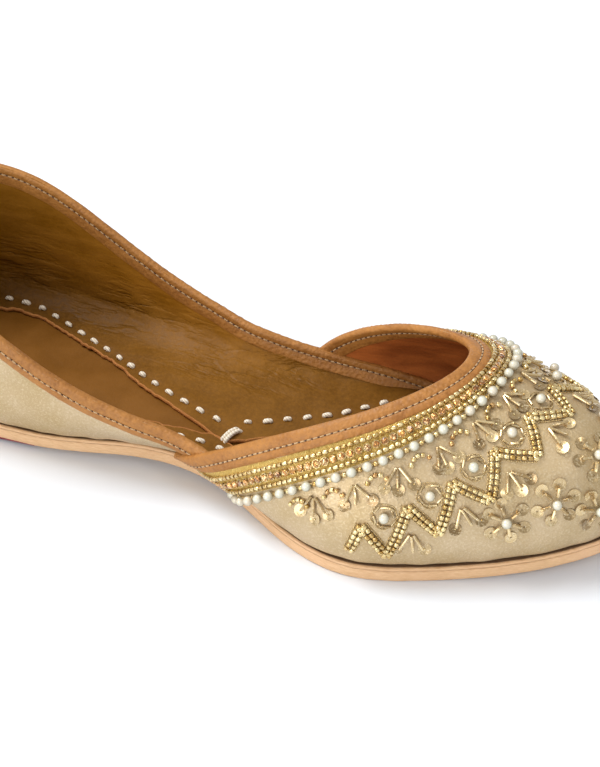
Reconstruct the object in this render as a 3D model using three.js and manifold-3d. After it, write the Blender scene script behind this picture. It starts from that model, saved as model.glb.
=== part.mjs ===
// A left mojari (jutti): a flat slip-on shoe with an open quarter, an overlapping vamp,
// a leather outsole, a thin heel lift and a loose-laid insole.
// Frame: +X towards the toe, +Y towards the little-toe side, +Z up, millimetres.
// The origin is on the ground, below the middle of the shoe's box.
import * as THREE from "three";
import { mergeVertices } from "three/addons/utils/BufferGeometryUtils.js";
import Module from "manifold-3d";

const wasm = await Module();
wasm.setup();

// ---------------------------------------------------------------- driving dimensions
const SOLE_LENGTH = 246;      // outsole, heel to toe
const SOLE_THICKNESS = 4.7;   // outsole leather
const LIFT_THICKNESS = 1.6;   // heel lift
const LIFT_LENGTH = 72;       // from the back of the heel
const ARCH_HEIGHT = 3.6;      // ground to the outsole, at the waist
const ARCH_STATION = 100;     // where the waist is highest
const TREAD_START = 152;      // forefoot flat on the ground, from here
const SPRING_START = 188;     // to here, and the toe spring rises beyond it
const TOE_SPRING = 7.8;       // rise of the sole's underside at the toe
const LEDGE = 1.2;            // outsole edge beyond the upper's bottom edge
const INSOLE_THICKNESS = 2.2;
const INSOLE_MARGIN = 3.7;    // insole edge inside the upper's bottom edge
const WALL = 1.9;             // upper, outer skin and lining together
const UNDERLAP = 1.4;         // how far the quarter sits inside the vamp's outer face
const GAP = 0.3;              // between neighbouring solids
const QUARTER_END = 168;      // the quarter's hidden front ends, inside the vamp
const SECTION_CENTRE = 8;     // height over the feather line that sections are aimed from
const MIDLINE_SHIFT = 0.79;   // brings the middle of the shoe's box onto the X axis

// The last, a row for each section. station: distance from the heel's back.
// soleMed, soleLat: outsole half widths, big-toe and little-toe side.
// bulgeMed, bulgeLat: how far the upper's widest line stands outside its bottom edge.
// wideZ: that line's height over the outsole. rise: from there up to the last's ridge.
const LAST = [
  { station: 12.5, soleMed: 18.0, soleLat: 18.5, bulgeMed: 2.0, bulgeLat: 2.0, wideZ: 15.0, rise: 86.0 },
  { station: 25.0, soleMed: 24.0, soleLat: 25.5, bulgeMed: 3.0, bulgeLat: 3.0, wideZ: 16.0, rise: 84.0 },
  { station: 42.5, soleMed: 26.8, soleLat: 29.0, bulgeMed: 4.5, bulgeLat: 3.5, wideZ: 17.0, rise: 80.0 },
  { station: 67.5, soleMed: 26.8, soleLat: 28.5, bulgeMed: 5.5, bulgeLat: 4.0, wideZ: 18.0, rise: 68.0 },
  { station: 92.5, soleMed: 23.8, soleLat: 25.0, bulgeMed: 7.0, bulgeLat: 5.5, wideZ: 16.0, rise: 56.0 },
  { station: 112.5, soleMed: 20.2, soleLat: 21.5, bulgeMed: 9.0, bulgeLat: 7.5, wideZ: 13.0, rise: 49.0 },
  { station: 132.5, soleMed: 23.5, soleLat: 23.8, bulgeMed: 8.0, bulgeLat: 6.8, wideZ: 11.0, rise: 45.0 },
  { station: 155.0, soleMed: 35.0, soleLat: 31.0, bulgeMed: 3.5, bulgeLat: 4.5, wideZ: 10.0, rise: 40.0 },
  { station: 175.0, soleMed: 39.8, soleLat: 37.0, bulgeMed: 1.8, bulgeLat: 2.5, wideZ: 9.5, rise: 35.0 },
  { station: 195.0, soleMed: 34.0, soleLat: 36.8, bulgeMed: 1.8, bulgeLat: 2.0, wideZ: 9.0, rise: 31.5 },
  { station: 213.0, soleMed: 26.2, soleLat: 30.6, bulgeMed: 1.8, bulgeLat: 1.8, wideZ: 8.5, rise: 27.2 },
  { station: 230.0, soleMed: 16.9, soleLat: 21.0, bulgeMed: 1.6, bulgeLat: 1.6, wideZ: 8.0, rise: 21.6 },
  { station: 240.0, soleMed: 9.0, soleLat: 12.4, bulgeMed: 1.0, bulgeLat: 1.0, wideZ: 7.2, rise: 13.6 },
];

// Topline of the quarter: its height over the ground at each station, the same on both sides.
const QUARTER_TOPLINE = [
  { station: 0, height: 57.5 },
  { station: 20, height: 57.8 },
  { station: 38, height: 56.2 },
  { station: 55, height: 50.8 },
  { station: 73, height: 40.4 },
  { station: 91, height: 30.6 },
  { station: 113, height: 23.2 },
  { station: 137, height: 17.0 },
  { station: 168, height: 9.4 },
];

// Topline of the vamp: how far forward it is at each angle round the instep, in degrees,
// from the big-toe side's low corner (-96) over the ridge (0) to the other corner (96).
const VAMP_TOPLINE = [
  { turn: -96, station: 117.5 },
  { turn: -75, station: 131.2 },
  { turn: -55, station: 148.0 },
  { turn: -35, station: 170.5 },
  { turn: -15, station: 185.4 },
  { turn: 0, station: 190.4 },
  { turn: 15, station: 191.0 },
  { turn: 30, station: 187.2 },
  { turn: 50, station: 170.0 },
  { turn: 68, station: 149.8 },
  { turn: 85, station: 138.7 },
  { turn: 96, station: 134.0 },
];

const MEDIAL = -1;
const LATERAL = 1;
const CORNER_TURN = 96;

// ---------------------------------------------------------------- curves through tables
// Natural cubic spline through (xs, ys), as a function.
function splineThrough(xs, ys) {
  const count = xs.length;
  const bend = new Array(count).fill(0);
  const carry = new Array(count).fill(0);
  for (let i = 1; i < count - 1; i++) {
    const share = (xs[i] - xs[i - 1]) / (xs[i + 1] - xs[i - 1]);
    const pivot = share * bend[i - 1] + 2;
    const after = (ys[i + 1] - ys[i]) / (xs[i + 1] - xs[i]);
    const before = (ys[i] - ys[i - 1]) / (xs[i] - xs[i - 1]);
    bend[i] = (share - 1) / pivot;
    carry[i] = (6 * (after - before) / (xs[i + 1] - xs[i - 1]) - share * carry[i - 1]) / pivot;
  }
  for (let i = count - 2; i >= 0; i--) bend[i] = bend[i] * bend[i + 1] + carry[i];
  return (x) => {
    let k = 0;
    while (k < count - 2 && x > xs[k + 1]) k++;
    const step = xs[k + 1] - xs[k];
    const a = (xs[k + 1] - x) / step;
    const b = (x - xs[k]) / step;
    const cubic = (a * a * a - a) * bend[k] + (b * b * b - b) * bend[k + 1];
    return a * ys[k] + b * ys[k + 1] + cubic * step * step / 6;
  };
}

function smoothStep(t) {
  const s = Math.min(1, Math.max(0, t));
  return s * s * (3 - 2 * s);
}

// Places along the shoe are angles: 0 at the heel's back, PI at the toe's tip. An outline
// given over this angle comes out round at both ends.
const soleStation = (angle) => SOLE_LENGTH * (1 - Math.cos(angle)) / 2;
const soleAngle = (station) => Math.acos(1 - 2 * station / SOLE_LENGTH);
const UPPER_LENGTH = SOLE_LENGTH - 2 * LEDGE;
const upperStation = (angle) => LEDGE + UPPER_LENGTH * (1 - Math.cos(angle)) / 2;
const upperAngle = (station) => {
  const cosine = 1 - 2 * (station - LEDGE) / UPPER_LENGTH;
  return Math.acos(Math.min(1, Math.max(-1, cosine)));
};

function lastColumn(name, atHeel, atToe) {
  const angles = [0, ...LAST.map((row) => soleAngle(row.station)), Math.PI];
  return splineThrough(angles, [atHeel, ...LAST.map((row) => row[name]), atToe]);
}

const soleHalfWidth = {
  [MEDIAL]: lastColumn("soleMed", 0, 0),
  [LATERAL]: lastColumn("soleLat", 0, 0),
};
const bulge = {
  [MEDIAL]: lastColumn("bulgeMed", 0.5, 0),
  [LATERAL]: lastColumn("bulgeLat", 0.5, 0),
};
const wideHeight = lastColumn("wideZ", 14, 6.5);
const ridgeRise = lastColumn("rise", 86, 0);

const quarterTopline = splineThrough(
  QUARTER_TOPLINE.map((row) => row.station),
  QUARTER_TOPLINE.map((row) => row.height),
);
const vampTopline = splineThrough(
  VAMP_TOPLINE.map((row) => row.turn),
  VAMP_TOPLINE.map((row) => row.station),
);

// ---------------------------------------------------------------- the sole's heights
const HEEL_SEAT = LIFT_THICKNESS + GAP;

function soleUnderside(station) {
  if (station >= SPRING_START) {
    const along = (station - SPRING_START) / (SOLE_LENGTH - SPRING_START);
    return TOE_SPRING * along * along;
  }
  if (station < ARCH_STATION) {
    const along = (station - LIFT_LENGTH) / (ARCH_STATION - LIFT_LENGTH);
    return HEEL_SEAT + (ARCH_HEIGHT - HEEL_SEAT) * smoothStep(along);
  }
  return ARCH_HEIGHT * (1 - smoothStep((station - ARCH_STATION) / (TREAD_START - ARCH_STATION)));
}

const featherHeight = (station) => soleUnderside(station) + SOLE_THICKNESS;

// ---------------------------------------------------------------- the last's surface
// Heights here are over the feather line, where the upper meets the outsole.
const LOWER_FULLNESS = 2.4;   // how quickly the side swells out from the feather line
const ROUND_SECTION = 2.1;    // a near ellipse at the heel and the toe
const INSTEP_PEAK = 0.5;      // less round, so more peaked, over the instep
const INSTEP_STATION = 155;
const INSTEP_SPREAD = 40;

function sectionPower(station) {
  const away = (station - INSTEP_STATION) / INSTEP_SPREAD;
  return ROUND_SECTION - INSTEP_PEAK * Math.exp(-away * away);
}

const featherHalfWidth = (side, angle) =>
  Math.max(0, soleHalfWidth[side](angle) - LEDGE * Math.sin(angle));

const widestHalfWidth = (side, angle) =>
  featherHalfWidth(side, angle) + bulge[side](angle) * Math.min(1, 2 * Math.sin(angle));

const centreline = (angle) =>
  (widestHalfWidth(LATERAL, angle) - widestHalfWidth(MEDIAL, angle)) / 2;

// Signed Y of one side's wall at a height over the feather line.
function wallY(side, angle, height) {
  const feather = featherHalfWidth(side, angle);
  const widest = widestHalfWidth(side, angle);
  const wide = wideHeight(angle);
  if (height < wide) {
    const left = 1 - Math.max(0, height) / wide;
    return side * (feather + (widest - feather) * (1 - left ** LOWER_FULLNESS));
  }
  const power = sectionPower(upperStation(angle));
  const up = Math.min(1, (height - wide) / ridgeRise(angle));
  const middle = centreline(angle);
  return middle + (side * widest - middle) * (1 - up ** power) ** (1 / power);
}

// The heel's back leans: it is furthest back at mid height and comes forward above.
const HEEL_MID = 17;
const HEEL_TOP_SHIFT = 5;
const HEEL_FOOT_SHIFT = 1.5;
const HEEL_REACH = 70;

function heelShift(station, height) {
  const fade = Math.max(0, 1 - station / HEEL_REACH) ** 1.5;
  const above = Math.max(0, height - HEEL_MID) / 31;
  const below = Math.max(0, HEEL_MID - height) / HEEL_MID;
  return fade * (HEEL_TOP_SHIFT * above ** 1.7 + HEEL_FOOT_SHIFT * below * below);
}

// Point of the wall at an angle along the shoe and a height over the feather line.
function wallPoint(side, angle, height) {
  const station = upperStation(angle) + heelShift(upperStation(angle), height);
  return new THREE.Vector3(station, wallY(side, angle, height), height);
}

function insideLast(station, y, height) {
  if (station <= LEDGE || station >= SOLE_LENGTH - LEDGE || height < 0) return false;
  const angle = upperAngle(station);
  if (height > wideHeight(angle) + ridgeRise(angle)) return false;
  return y > wallY(MEDIAL, angle, height) && y < wallY(LATERAL, angle, height);
}

// Where a straight line out of a point inside the last leaves it, by halving.
function leaveLast(from, direction) {
  let near = 0;
  let far = 150;
  for (let step = 0; step < 40; step++) {
    const middle = (near + far) / 2;
    const at = from.clone().addScaledVector(direction, middle);
    if (insideLast(at.x, at.y, at.z)) near = middle;
    else far = middle;
  }
  return from.clone().addScaledVector(direction, near);
}

// ---------------------------------------------------------------- grids of points
const degrees = THREE.MathUtils.degToRad;

// One line of the vamp's grid, from its bottom edge (share 0) up to its topline (share 1).
// Lines start at right angles to the shoe at the corners and fan out round the toe.
function vampLine(turn) {
  const side = turn < 0 ? MEDIAL : LATERAL;
  const station = vampTopline(turn);
  const angle = upperAngle(station);
  const fan = degrees(90) * (1 - Math.abs(turn) / CORNER_TURN) ** 1.6;
  const spine = new THREE.Vector3(station, centreline(angle), SECTION_CENTRE);
  const upward = degrees(90 - Math.abs(turn));
  const across = new THREE.Vector3(0, side * Math.cos(upward), Math.sin(upward));
  const top = leaveLast(spine, across);
  const outward = new THREE.Vector3(Math.sin(fan), side * Math.cos(fan), 0);
  const back = Math.abs(top.y - spine.y) / Math.max(1e-3, Math.cos(fan));
  const from = new THREE.Vector3(station, top.y, SECTION_CENTRE).addScaledVector(outward, -back);
  const foot = leaveLast(new THREE.Vector3(from.x, from.y, 0.01), outward);
  const highest = Math.atan2(top.z - from.z, back);
  const lowest = Math.atan2(GAP - from.z, Math.hypot(foot.x - from.x, foot.y - from.y));
  return (share) => {
    const elevation = lowest + (highest - lowest) * share;
    const flat = outward.clone().multiplyScalar(Math.cos(elevation));
    const aim = flat.add(new THREE.Vector3(0, 0, Math.sin(elevation)));
    return leaveLast(from, aim);
  };
}

const raised = (point) => point.clone().setZ(point.z + featherHeight(point.x));

function vampGrid(lines, rows) {
  const grid = [];
  for (let i = 0; i <= lines; i++) {
    const turn = CORNER_TURN * (1 - 2 * i / lines);
    const line = vampLine(Math.abs(turn) < 1e-6 ? 1e-3 : turn);
    const points = [];
    for (let j = 0; j <= rows; j++) points.push(raised(line(j / rows)));
    grid.push(points);
  }
  return grid;
}

function quarterTop(station) {
  return quarterTopline(station) - featherHeight(station);
}

function quarterGrid(lines, rows) {
  const reach = upperAngle(QUARTER_END);
  const grid = [];
  for (let i = 0; i <= lines; i++) {
    const along = reach * (2 * i / lines - 1);
    const side = along < 0 ? MEDIAL : LATERAL;
    const angle = Math.max(1e-4, Math.abs(along));
    const top = quarterTop(upperStation(angle));
    const points = [];
    for (let j = 0; j <= rows; j++) {
      const height = GAP + (top - GAP) * j / rows;
      points.push(raised(wallPoint(side, angle, height)));
    }
    grid.push(points);
  }
  return grid;
}

// Unit normals of a grid, by central differences, pointing out of the shoe.
function gridNormals(grid) {
  const lines = grid.length - 1;
  const rows = grid[0].length - 1;
  return grid.map((line, i) => line.map((point, j) => {
    const along = new THREE.Vector3().subVectors(
      grid[Math.min(lines, i + 1)][j], grid[Math.max(0, i - 1)][j]);
    const upward = new THREE.Vector3().subVectors(
      line[Math.min(rows, j + 1)], line[Math.max(0, j - 1)]);
    return new THREE.Vector3().crossVectors(upward, along).normalize();
  }));
}

const offsetGrid = (grid, normals, distance) => grid.map((line, i) =>
  line.map((point, j) => point.clone().addScaledVector(normals[i][j], distance(i, j))));

// ---------------------------------------------------------------- solids from grids
// Joins triangles given as triples of points into one closed geometry, faces out.
function geometryFromTriangles(triangles) {
  const positions = [];
  for (const triangle of triangles) for (const p of triangle) positions.push(p.x, p.y, p.z);
  const geometry = new THREE.BufferGeometry();
  geometry.setAttribute("position", new THREE.Float32BufferAttribute(positions, 3));
  return mergeVertices(geometry, 1e-4);
}

function pushQuad(triangles, a, b, c, d) {
  triangles.push([a, b, c], [a, c, d]);
}

// A wall between an outer and an inner grid of the same size, closed along its four edges.
function wallBetween(outer, inner) {
  const lines = outer.length - 1;
  const rows = outer[0].length - 1;
  const triangles = [];
  for (let i = 0; i < lines; i++) {
    for (let j = 0; j < rows; j++) {
      pushQuad(triangles, outer[i][j], outer[i][j + 1], outer[i + 1][j + 1], outer[i + 1][j]);
      pushQuad(triangles, inner[i][j], inner[i + 1][j], inner[i + 1][j + 1], inner[i][j + 1]);
    }
    pushQuad(triangles, outer[i][0], outer[i + 1][0], inner[i + 1][0], inner[i][0]);
    pushQuad(triangles, outer[i][rows], inner[i][rows], inner[i + 1][rows], outer[i + 1][rows]);
  }
  for (let j = 0; j < rows; j++) {
    pushQuad(triangles, outer[0][j], inner[0][j], inner[0][j + 1], outer[0][j + 1]);
    pushQuad(triangles, outer[lines][j], outer[lines][j + 1], inner[lines][j + 1], inner[lines][j]);
  }
  return geometryFromTriangles(triangles);
}

// A plate through cross-sections, each a ring of the same number of points, capped at the ends.
function loftRings(rings) {
  const triangles = [];
  const count = rings[0].length;
  for (let i = 0; i < rings.length - 1; i++) {
    for (let k = 0; k < count; k++) {
      const next = (k + 1) % count;
      pushQuad(triangles, rings[i][k], rings[i][next], rings[i + 1][next], rings[i + 1][k]);
    }
  }
  const first = rings[0];
  const last = rings[rings.length - 1];
  for (let k = 1; k < count - 1; k++) {
    triangles.push([first[0], first[k + 1], first[k]]);
    triangles.push([last[0], last[k], last[k + 1]]);
  }
  return geometryFromTriangles(triangles);
}

function toManifold(geometry) {
  const mesh = new wasm.Mesh({
    numProp: 3,
    vertProperties: new Float32Array(geometry.attributes.position.array),
    triVerts: new Uint32Array(geometry.index.array),
  });
  return new wasm.Manifold(mesh);
}

function fromManifold(solid) {
  const mesh = solid.getMesh();
  const geometry = new THREE.BufferGeometry();
  geometry.setAttribute("position", new THREE.Float32BufferAttribute(mesh.vertProperties, 3));
  geometry.setIndex(Array.from(mesh.triVerts));
  return geometry;
}

// ---------------------------------------------------------------- the pieces
const QUARTER_LINES = 64;
const QUARTER_ROWS = 8;
const VAMP_LINES = 56;
const VAMP_ROWS = 12;
const OVERLAP_START = 104;    // the quarter begins to step in here, and is fully in
const OVERLAP_FULL = 120;     // under the vamp from here

function quarterShell() {
  const grid = quarterGrid(QUARTER_LINES, QUARTER_ROWS);
  const normals = gridNormals(grid);
  const stepIn = (i) => {
    const along = (grid[i][0].x - OVERLAP_START) / (OVERLAP_FULL - OVERLAP_START);
    return UNDERLAP * smoothStep(along);
  };
  const outer = offsetGrid(grid, normals, (i) => -stepIn(i));
  const inner = offsetGrid(grid, normals, (i) => -stepIn(i) - WALL);
  return wallBetween(outer, inner);
}

function vampShell() {
  const grid = vampGrid(VAMP_LINES, VAMP_ROWS);
  const inner = offsetGrid(grid, gridNormals(grid), () => -WALL);
  return wallBetween(grid, inner);
}

const upperGeometry = () =>
  fromManifold(toManifold(quarterShell()).add(toManifold(vampShell())));

// Cross-section of a flat piece of leather, its two edges slightly rounded.
function plateRing(station, left, right, low, high) {
  const soft = Math.min(0.8, (right - left) / 6);
  const third = (high - low) / 3;
  const point = (y, z) => new THREE.Vector3(station, y, z);
  return [
    point(left + soft, low), point(right - soft, low),
    point(right, low + third), point(right, high - third),
    point(right - soft, high), point(left + soft, high),
    point(left, high - third), point(left, low + third),
  ];
}

const SOLE_SECTIONS = 52;
const BLUNT_END = 0.06;       // angle at which the heel's and the toe's ends are closed

function outsoleGeometry() {
  const rings = [];
  for (let i = 0; i <= SOLE_SECTIONS; i++) {
    const angle = BLUNT_END + (Math.PI - 2 * BLUNT_END) * i / SOLE_SECTIONS;
    const station = soleStation(angle);
    const low = soleUnderside(station);
    const left = -soleHalfWidth[MEDIAL](angle);
    rings.push(plateRing(station, left, soleHalfWidth[LATERAL](angle), low, low + SOLE_THICKNESS));
  }
  return loftRings(rings);
}

const LIFT_SECTIONS = 18;

function heelLiftGeometry() {
  const rings = [];
  const front = soleAngle(LIFT_LENGTH);
  for (let i = 0; i <= LIFT_SECTIONS; i++) {
    const angle = BLUNT_END + (front - BLUNT_END) * i / LIFT_SECTIONS;
    const left = -soleHalfWidth[MEDIAL](angle);
    const right = soleHalfWidth[LATERAL](angle);
    rings.push(plateRing(soleStation(angle), left, right, 0, LIFT_THICKNESS));
  }
  return loftRings(rings);
}

const INSOLE_SECTIONS = 44;
const INSOLE_END = 0.33;      // angle at which the insole's ends are closed

// The feather line's half width less a margin measured square to the outline.
function insoleHalfWidth(side, angle) {
  const step = 0.01;
  const wider = featherHalfWidth(side, angle + step) - featherHalfWidth(side, angle - step);
  const slope = wider / (upperStation(angle + step) - upperStation(angle - step));
  return featherHalfWidth(side, angle) - INSOLE_MARGIN * Math.hypot(1, slope);
}

function insoleGeometry() {
  const rings = [];
  for (let i = 0; i <= INSOLE_SECTIONS; i++) {
    const angle = INSOLE_END + (Math.PI - 2 * INSOLE_END) * i / INSOLE_SECTIONS;
    const station = upperStation(angle);
    const left = -insoleHalfWidth(MEDIAL, angle);
    const right = insoleHalfWidth(LATERAL, angle);
    const low = featherHeight(station) + GAP;
    rings.push(plateRing(station, left, right, low, low + INSOLE_THICKNESS));
  }
  return loftRings(rings);
}

// ---------------------------------------------------------------- assembly
function leather(name, geometry, color, roughness, metalness) {
  const material = new THREE.MeshStandardMaterial({ color, roughness, metalness });
  geometry.computeVertexNormals();
  const mesh = new THREE.Mesh(geometry, material);
  mesh.name = name;
  return mesh;
}

const mojari = new THREE.Group();
mojari.add(
  leather("outsole", outsoleGeometry(), 0xd8a57b, 0.75, 0.0),
  leather("heel_lift", heelLiftGeometry(), 0x8c2430, 0.7, 0.0),
  leather("insole", insoleGeometry(), 0x7d5730, 0.5, 0.0),
  leather("upper", upperGeometry(), 0xd8bd8b, 0.45, 0.35),
);
mojari.position.set(-SOLE_LENGTH / 2, MIDLINE_SHIFT, 0);

export default mojari;
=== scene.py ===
"""A left mojari (jutti) in gold leather with hand-sewn beadwork, dressed over its CAD frame."""

import math
from functools import lru_cache

import bmesh
import bpy
import numpy as np
from mathutils import Matrix, Vector
from mathutils.bvhtree import BVHTree


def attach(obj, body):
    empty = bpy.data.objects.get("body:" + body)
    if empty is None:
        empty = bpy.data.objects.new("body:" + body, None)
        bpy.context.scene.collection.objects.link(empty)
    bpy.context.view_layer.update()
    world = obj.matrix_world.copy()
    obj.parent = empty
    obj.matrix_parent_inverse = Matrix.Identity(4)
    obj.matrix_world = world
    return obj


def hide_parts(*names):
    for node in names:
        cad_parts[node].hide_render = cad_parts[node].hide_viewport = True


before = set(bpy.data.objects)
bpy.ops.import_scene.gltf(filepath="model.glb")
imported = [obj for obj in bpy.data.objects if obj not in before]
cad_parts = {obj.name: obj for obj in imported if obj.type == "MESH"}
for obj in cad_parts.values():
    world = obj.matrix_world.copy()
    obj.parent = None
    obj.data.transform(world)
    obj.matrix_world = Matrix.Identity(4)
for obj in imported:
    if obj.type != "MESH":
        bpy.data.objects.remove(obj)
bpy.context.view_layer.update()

bl_info = {
    "name": "Mojari Shoe",
    "version": (1, 0, 0),
    "blender": (4, 5, 0),
    "location": "View3D > Sidebar > Mojari",
    "description": "Builds the leather, bindings, stitches and beadwork of a left mojari",
    "category": "Add Mesh",
}

BODY = "root"
MM = 0.001


# ------------------------------------------------------------------ the last, as in the CAD source
# The shoe's lengths are in millimetres until to_frame; materials, lamps and floor are in metres.
# A station is the distance from the heel's back.
SOLE_LENGTH = 246.0
SOLE_THICKNESS = 4.7
LIFT_THICKNESS = 1.6
LIFT_LENGTH = 72.0
GAP = 0.3
ARCH_HEIGHT = 3.6
ARCH_STATION = 100.0
TREAD_START = 152.0
SPRING_START = 188.0
TOE_SPRING = 7.8
LEDGE = 1.2
MIDLINE_SHIFT = 0.79
SECTION_CENTRE = 8.0
QUARTER_END = 175.0
CORNER_TURN = 96.0
LOWER_FULLNESS = 2.4
ROUND_SECTION = 2.1
INSTEP_PEAK = 0.5
INSTEP_STATION = 155.0
INSTEP_SPREAD = 40.0
HEEL_MID = 17.0
HEEL_HEIGHT = 31.0
HEEL_TOP_SHIFT = 5.0
HEEL_FOOT_SHIFT = 1.5
HEEL_REACH = 70.0
FARTHEST_WALL = 150.0
HALVINGS = 36
MEDIAL, LATERAL = -1, 1

LAST_COLUMNS = ("station", "sole_med", "sole_lat", "bulge_med", "bulge_lat", "wide_z", "rise")
LAST = (
    (12.5, 18.0, 18.5, 2.0, 2.0, 15.0, 86.0),
    (25.0, 24.0, 25.5, 3.0, 3.0, 16.0, 84.0),
    (42.5, 26.8, 29.0, 4.5, 3.5, 17.0, 80.0),
    (67.5, 26.8, 28.5, 5.5, 4.0, 18.0, 68.0),
    (92.5, 23.8, 25.0, 7.0, 5.5, 16.0, 56.0),
    (112.5, 20.2, 21.5, 9.0, 7.5, 13.0, 49.0),
    (132.5, 23.5, 23.8, 8.0, 6.8, 11.0, 45.0),
    (155.0, 35.0, 31.0, 3.5, 4.5, 10.0, 40.0),
    (175.0, 39.8, 37.0, 1.8, 2.5, 9.5, 35.0),
    (195.0, 34.0, 36.8, 1.8, 2.0, 9.0, 31.5),
    (213.0, 26.2, 30.6, 1.8, 1.8, 8.5, 27.2),
    (230.0, 16.9, 21.0, 1.6, 1.6, 8.0, 21.6),
    (240.0, 9.0, 12.4, 1.0, 1.0, 7.2, 13.6),
)
# Height of the quarter's topline over the ground, by station.
QUARTER_TOPLINE = (
    (0, 57.5), (20, 57.8), (38, 56.2), (55, 50.8), (73, 40.4),
    (91, 30.6), (113, 23.2), (137, 17.0), (168, 9.4),
)
# Station of the vamp's topline by the angle round the instep, medial corner to lateral corner.
VAMP_TOPLINE = (
    (-96, 117.5), (-75, 131.2), (-55, 148.0), (-35, 170.5), (-15, 185.4), (0, 190.4),
    (15, 191.0), (30, 187.2), (50, 170.0), (68, 149.8), (85, 138.7), (96, 134.0),
)
UPPER_LENGTH = SOLE_LENGTH - 2 * LEDGE


def spline_through(xs, ys):
    """Natural cubic spline through the points, as a function of arrays."""
    xs, ys = np.asarray(xs, float), np.asarray(ys, float)
    count = len(xs)
    step = np.diff(xs)
    system = np.eye(count)
    wanted = np.zeros(count)
    for i in range(1, count - 1):
        system[i, i - 1:i + 2] = step[i - 1], 2 * (step[i - 1] + step[i]), step[i]
        wanted[i] = 6 * ((ys[i + 1] - ys[i]) / step[i] - (ys[i] - ys[i - 1]) / step[i - 1])
    bend = np.linalg.solve(system, wanted)

    def value(x):
        x = np.asarray(x, float)
        k = np.clip(np.searchsorted(xs, x) - 1, 0, count - 2)
        width = step[k]
        a, b = (xs[k + 1] - x) / width, (x - xs[k]) / width
        cubic = (a ** 3 - a) * bend[k] + (b ** 3 - b) * bend[k + 1]
        return a * ys[k] + b * ys[k + 1] + cubic * width ** 2 / 6

    return value


def smooth_step(t):
    t = np.clip(t, 0.0, 1.0)
    return t * t * (3 - 2 * t)


def sole_station(angle):
    return SOLE_LENGTH * (1 - np.cos(angle)) / 2


def sole_angle(station):
    return np.arccos(np.clip(1 - 2 * np.asarray(station, float) / SOLE_LENGTH, -1, 1))


def upper_station(angle):
    return LEDGE + UPPER_LENGTH * (1 - np.cos(angle)) / 2


def upper_angle(station):
    cosine = 1 - 2 * (np.asarray(station, float) - LEDGE) / UPPER_LENGTH
    return np.arccos(np.clip(cosine, -1, 1))


def last_column(name, at_heel, at_toe):
    column = LAST_COLUMNS.index(name)
    angles = [0.0, *[float(sole_angle(row[0])) for row in LAST], math.pi]
    return spline_through(angles, [at_heel, *[row[column] for row in LAST], at_toe])


SOLE_HALF = {MEDIAL: last_column("sole_med", 0, 0), LATERAL: last_column("sole_lat", 0, 0)}
BULGE = {MEDIAL: last_column("bulge_med", 0.5, 0), LATERAL: last_column("bulge_lat", 0.5, 0)}
WIDE_HEIGHT = last_column("wide_z", 14, 6.5)
RIDGE_RISE = last_column("rise", 86, 0)
QUARTER_TOP = spline_through(*zip(*QUARTER_TOPLINE))
VAMP_STATION = spline_through(*zip(*VAMP_TOPLINE))
HEEL_SEAT = LIFT_THICKNESS + GAP


def sole_underside(station):
    station = np.asarray(station, float)
    spring = np.clip((station - SPRING_START) / (SOLE_LENGTH - SPRING_START), 0, None) ** 2
    climb = smooth_step((station - LIFT_LENGTH) / (ARCH_STATION - LIFT_LENGTH))
    fall = smooth_step((station - ARCH_STATION) / (TREAD_START - ARCH_STATION))
    heel = HEEL_SEAT + (ARCH_HEIGHT - HEEL_SEAT) * climb
    return np.where(station < ARCH_STATION, heel, ARCH_HEIGHT * (1 - fall)) + TOE_SPRING * spring


def feather_height(station):
    """Height over the ground of the line where the upper meets the outsole."""
    return sole_underside(station) + SOLE_THICKNESS


def feather_half(side, angle):
    return np.maximum(0.0, SOLE_HALF[side](angle) - LEDGE * np.sin(angle))


def widest_half(side, angle):
    return feather_half(side, angle) + BULGE[side](angle) * np.minimum(1, 2 * np.sin(angle))


def centreline(angle):
    return (widest_half(LATERAL, angle) - widest_half(MEDIAL, angle)) / 2


def wall_y(side, angle, height):
    """Signed Y of one side's wall, at heights over the feather line."""
    feather, widest, wide = feather_half(side, angle), widest_half(side, angle), WIDE_HEIGHT(angle)
    below = 1 - np.clip(height, 0, None) / wide
    lower = side * (feather + (widest - feather) * (1 - np.clip(below, 0, 1) ** LOWER_FULLNESS))
    away = (upper_station(angle) - INSTEP_STATION) / INSTEP_SPREAD
    power = ROUND_SECTION - INSTEP_PEAK * np.exp(-away ** 2)
    rise = np.maximum(RIDGE_RISE(angle), 1e-6)
    up = np.clip((height - wide) / rise, 0, 1)
    middle = centreline(angle)
    upper = middle + (side * widest - middle) * (1 - up ** power) ** (1 / power)
    return np.where(height < wide, lower, upper)


def heel_shift(station, height):
    """The heel's back leans: it is furthest back at mid height and comes forward above."""
    fade = np.clip(1 - station / HEEL_REACH, 0, None) ** 1.5
    above = np.clip(height - HEEL_MID, 0, None) / HEEL_HEIGHT
    below = np.clip(HEEL_MID - height, 0, None) / HEEL_MID
    return fade * (HEEL_TOP_SHIFT * above ** 1.7 + HEEL_FOOT_SHIFT * below ** 2)


def wall_point(side, angle, height):
    base = upper_station(angle)
    x = base + heel_shift(base, height)
    return np.stack([x, wall_y(side, angle, height), height + feather_height(x)], -1)


def inside_last(p):
    """Whether points, with heights over the feather line, are inside the last."""
    angle = upper_angle(p[..., 0])
    ok = (p[..., 0] > LEDGE) & (p[..., 0] < SOLE_LENGTH - LEDGE) & (p[..., 2] >= 0)
    ok &= p[..., 2] <= WIDE_HEIGHT(angle) + RIDGE_RISE(angle)
    ok &= p[..., 1] > wall_y(MEDIAL, angle, p[..., 2])
    return ok & (p[..., 1] < wall_y(LATERAL, angle, p[..., 2]))


def leave_last(start, direction):
    """Where lines out of points inside the last leave it, by halving."""
    near = np.zeros(start.shape[:-1])
    far = near + FARTHEST_WALL
    for _ in range(HALVINGS):
        middle = (near + far) / 2
        held = inside_last(start + direction * middle[..., None])
        near, far = np.where(held, middle, near), np.where(held, far, middle)
    return start + direction * near[..., None]


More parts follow.
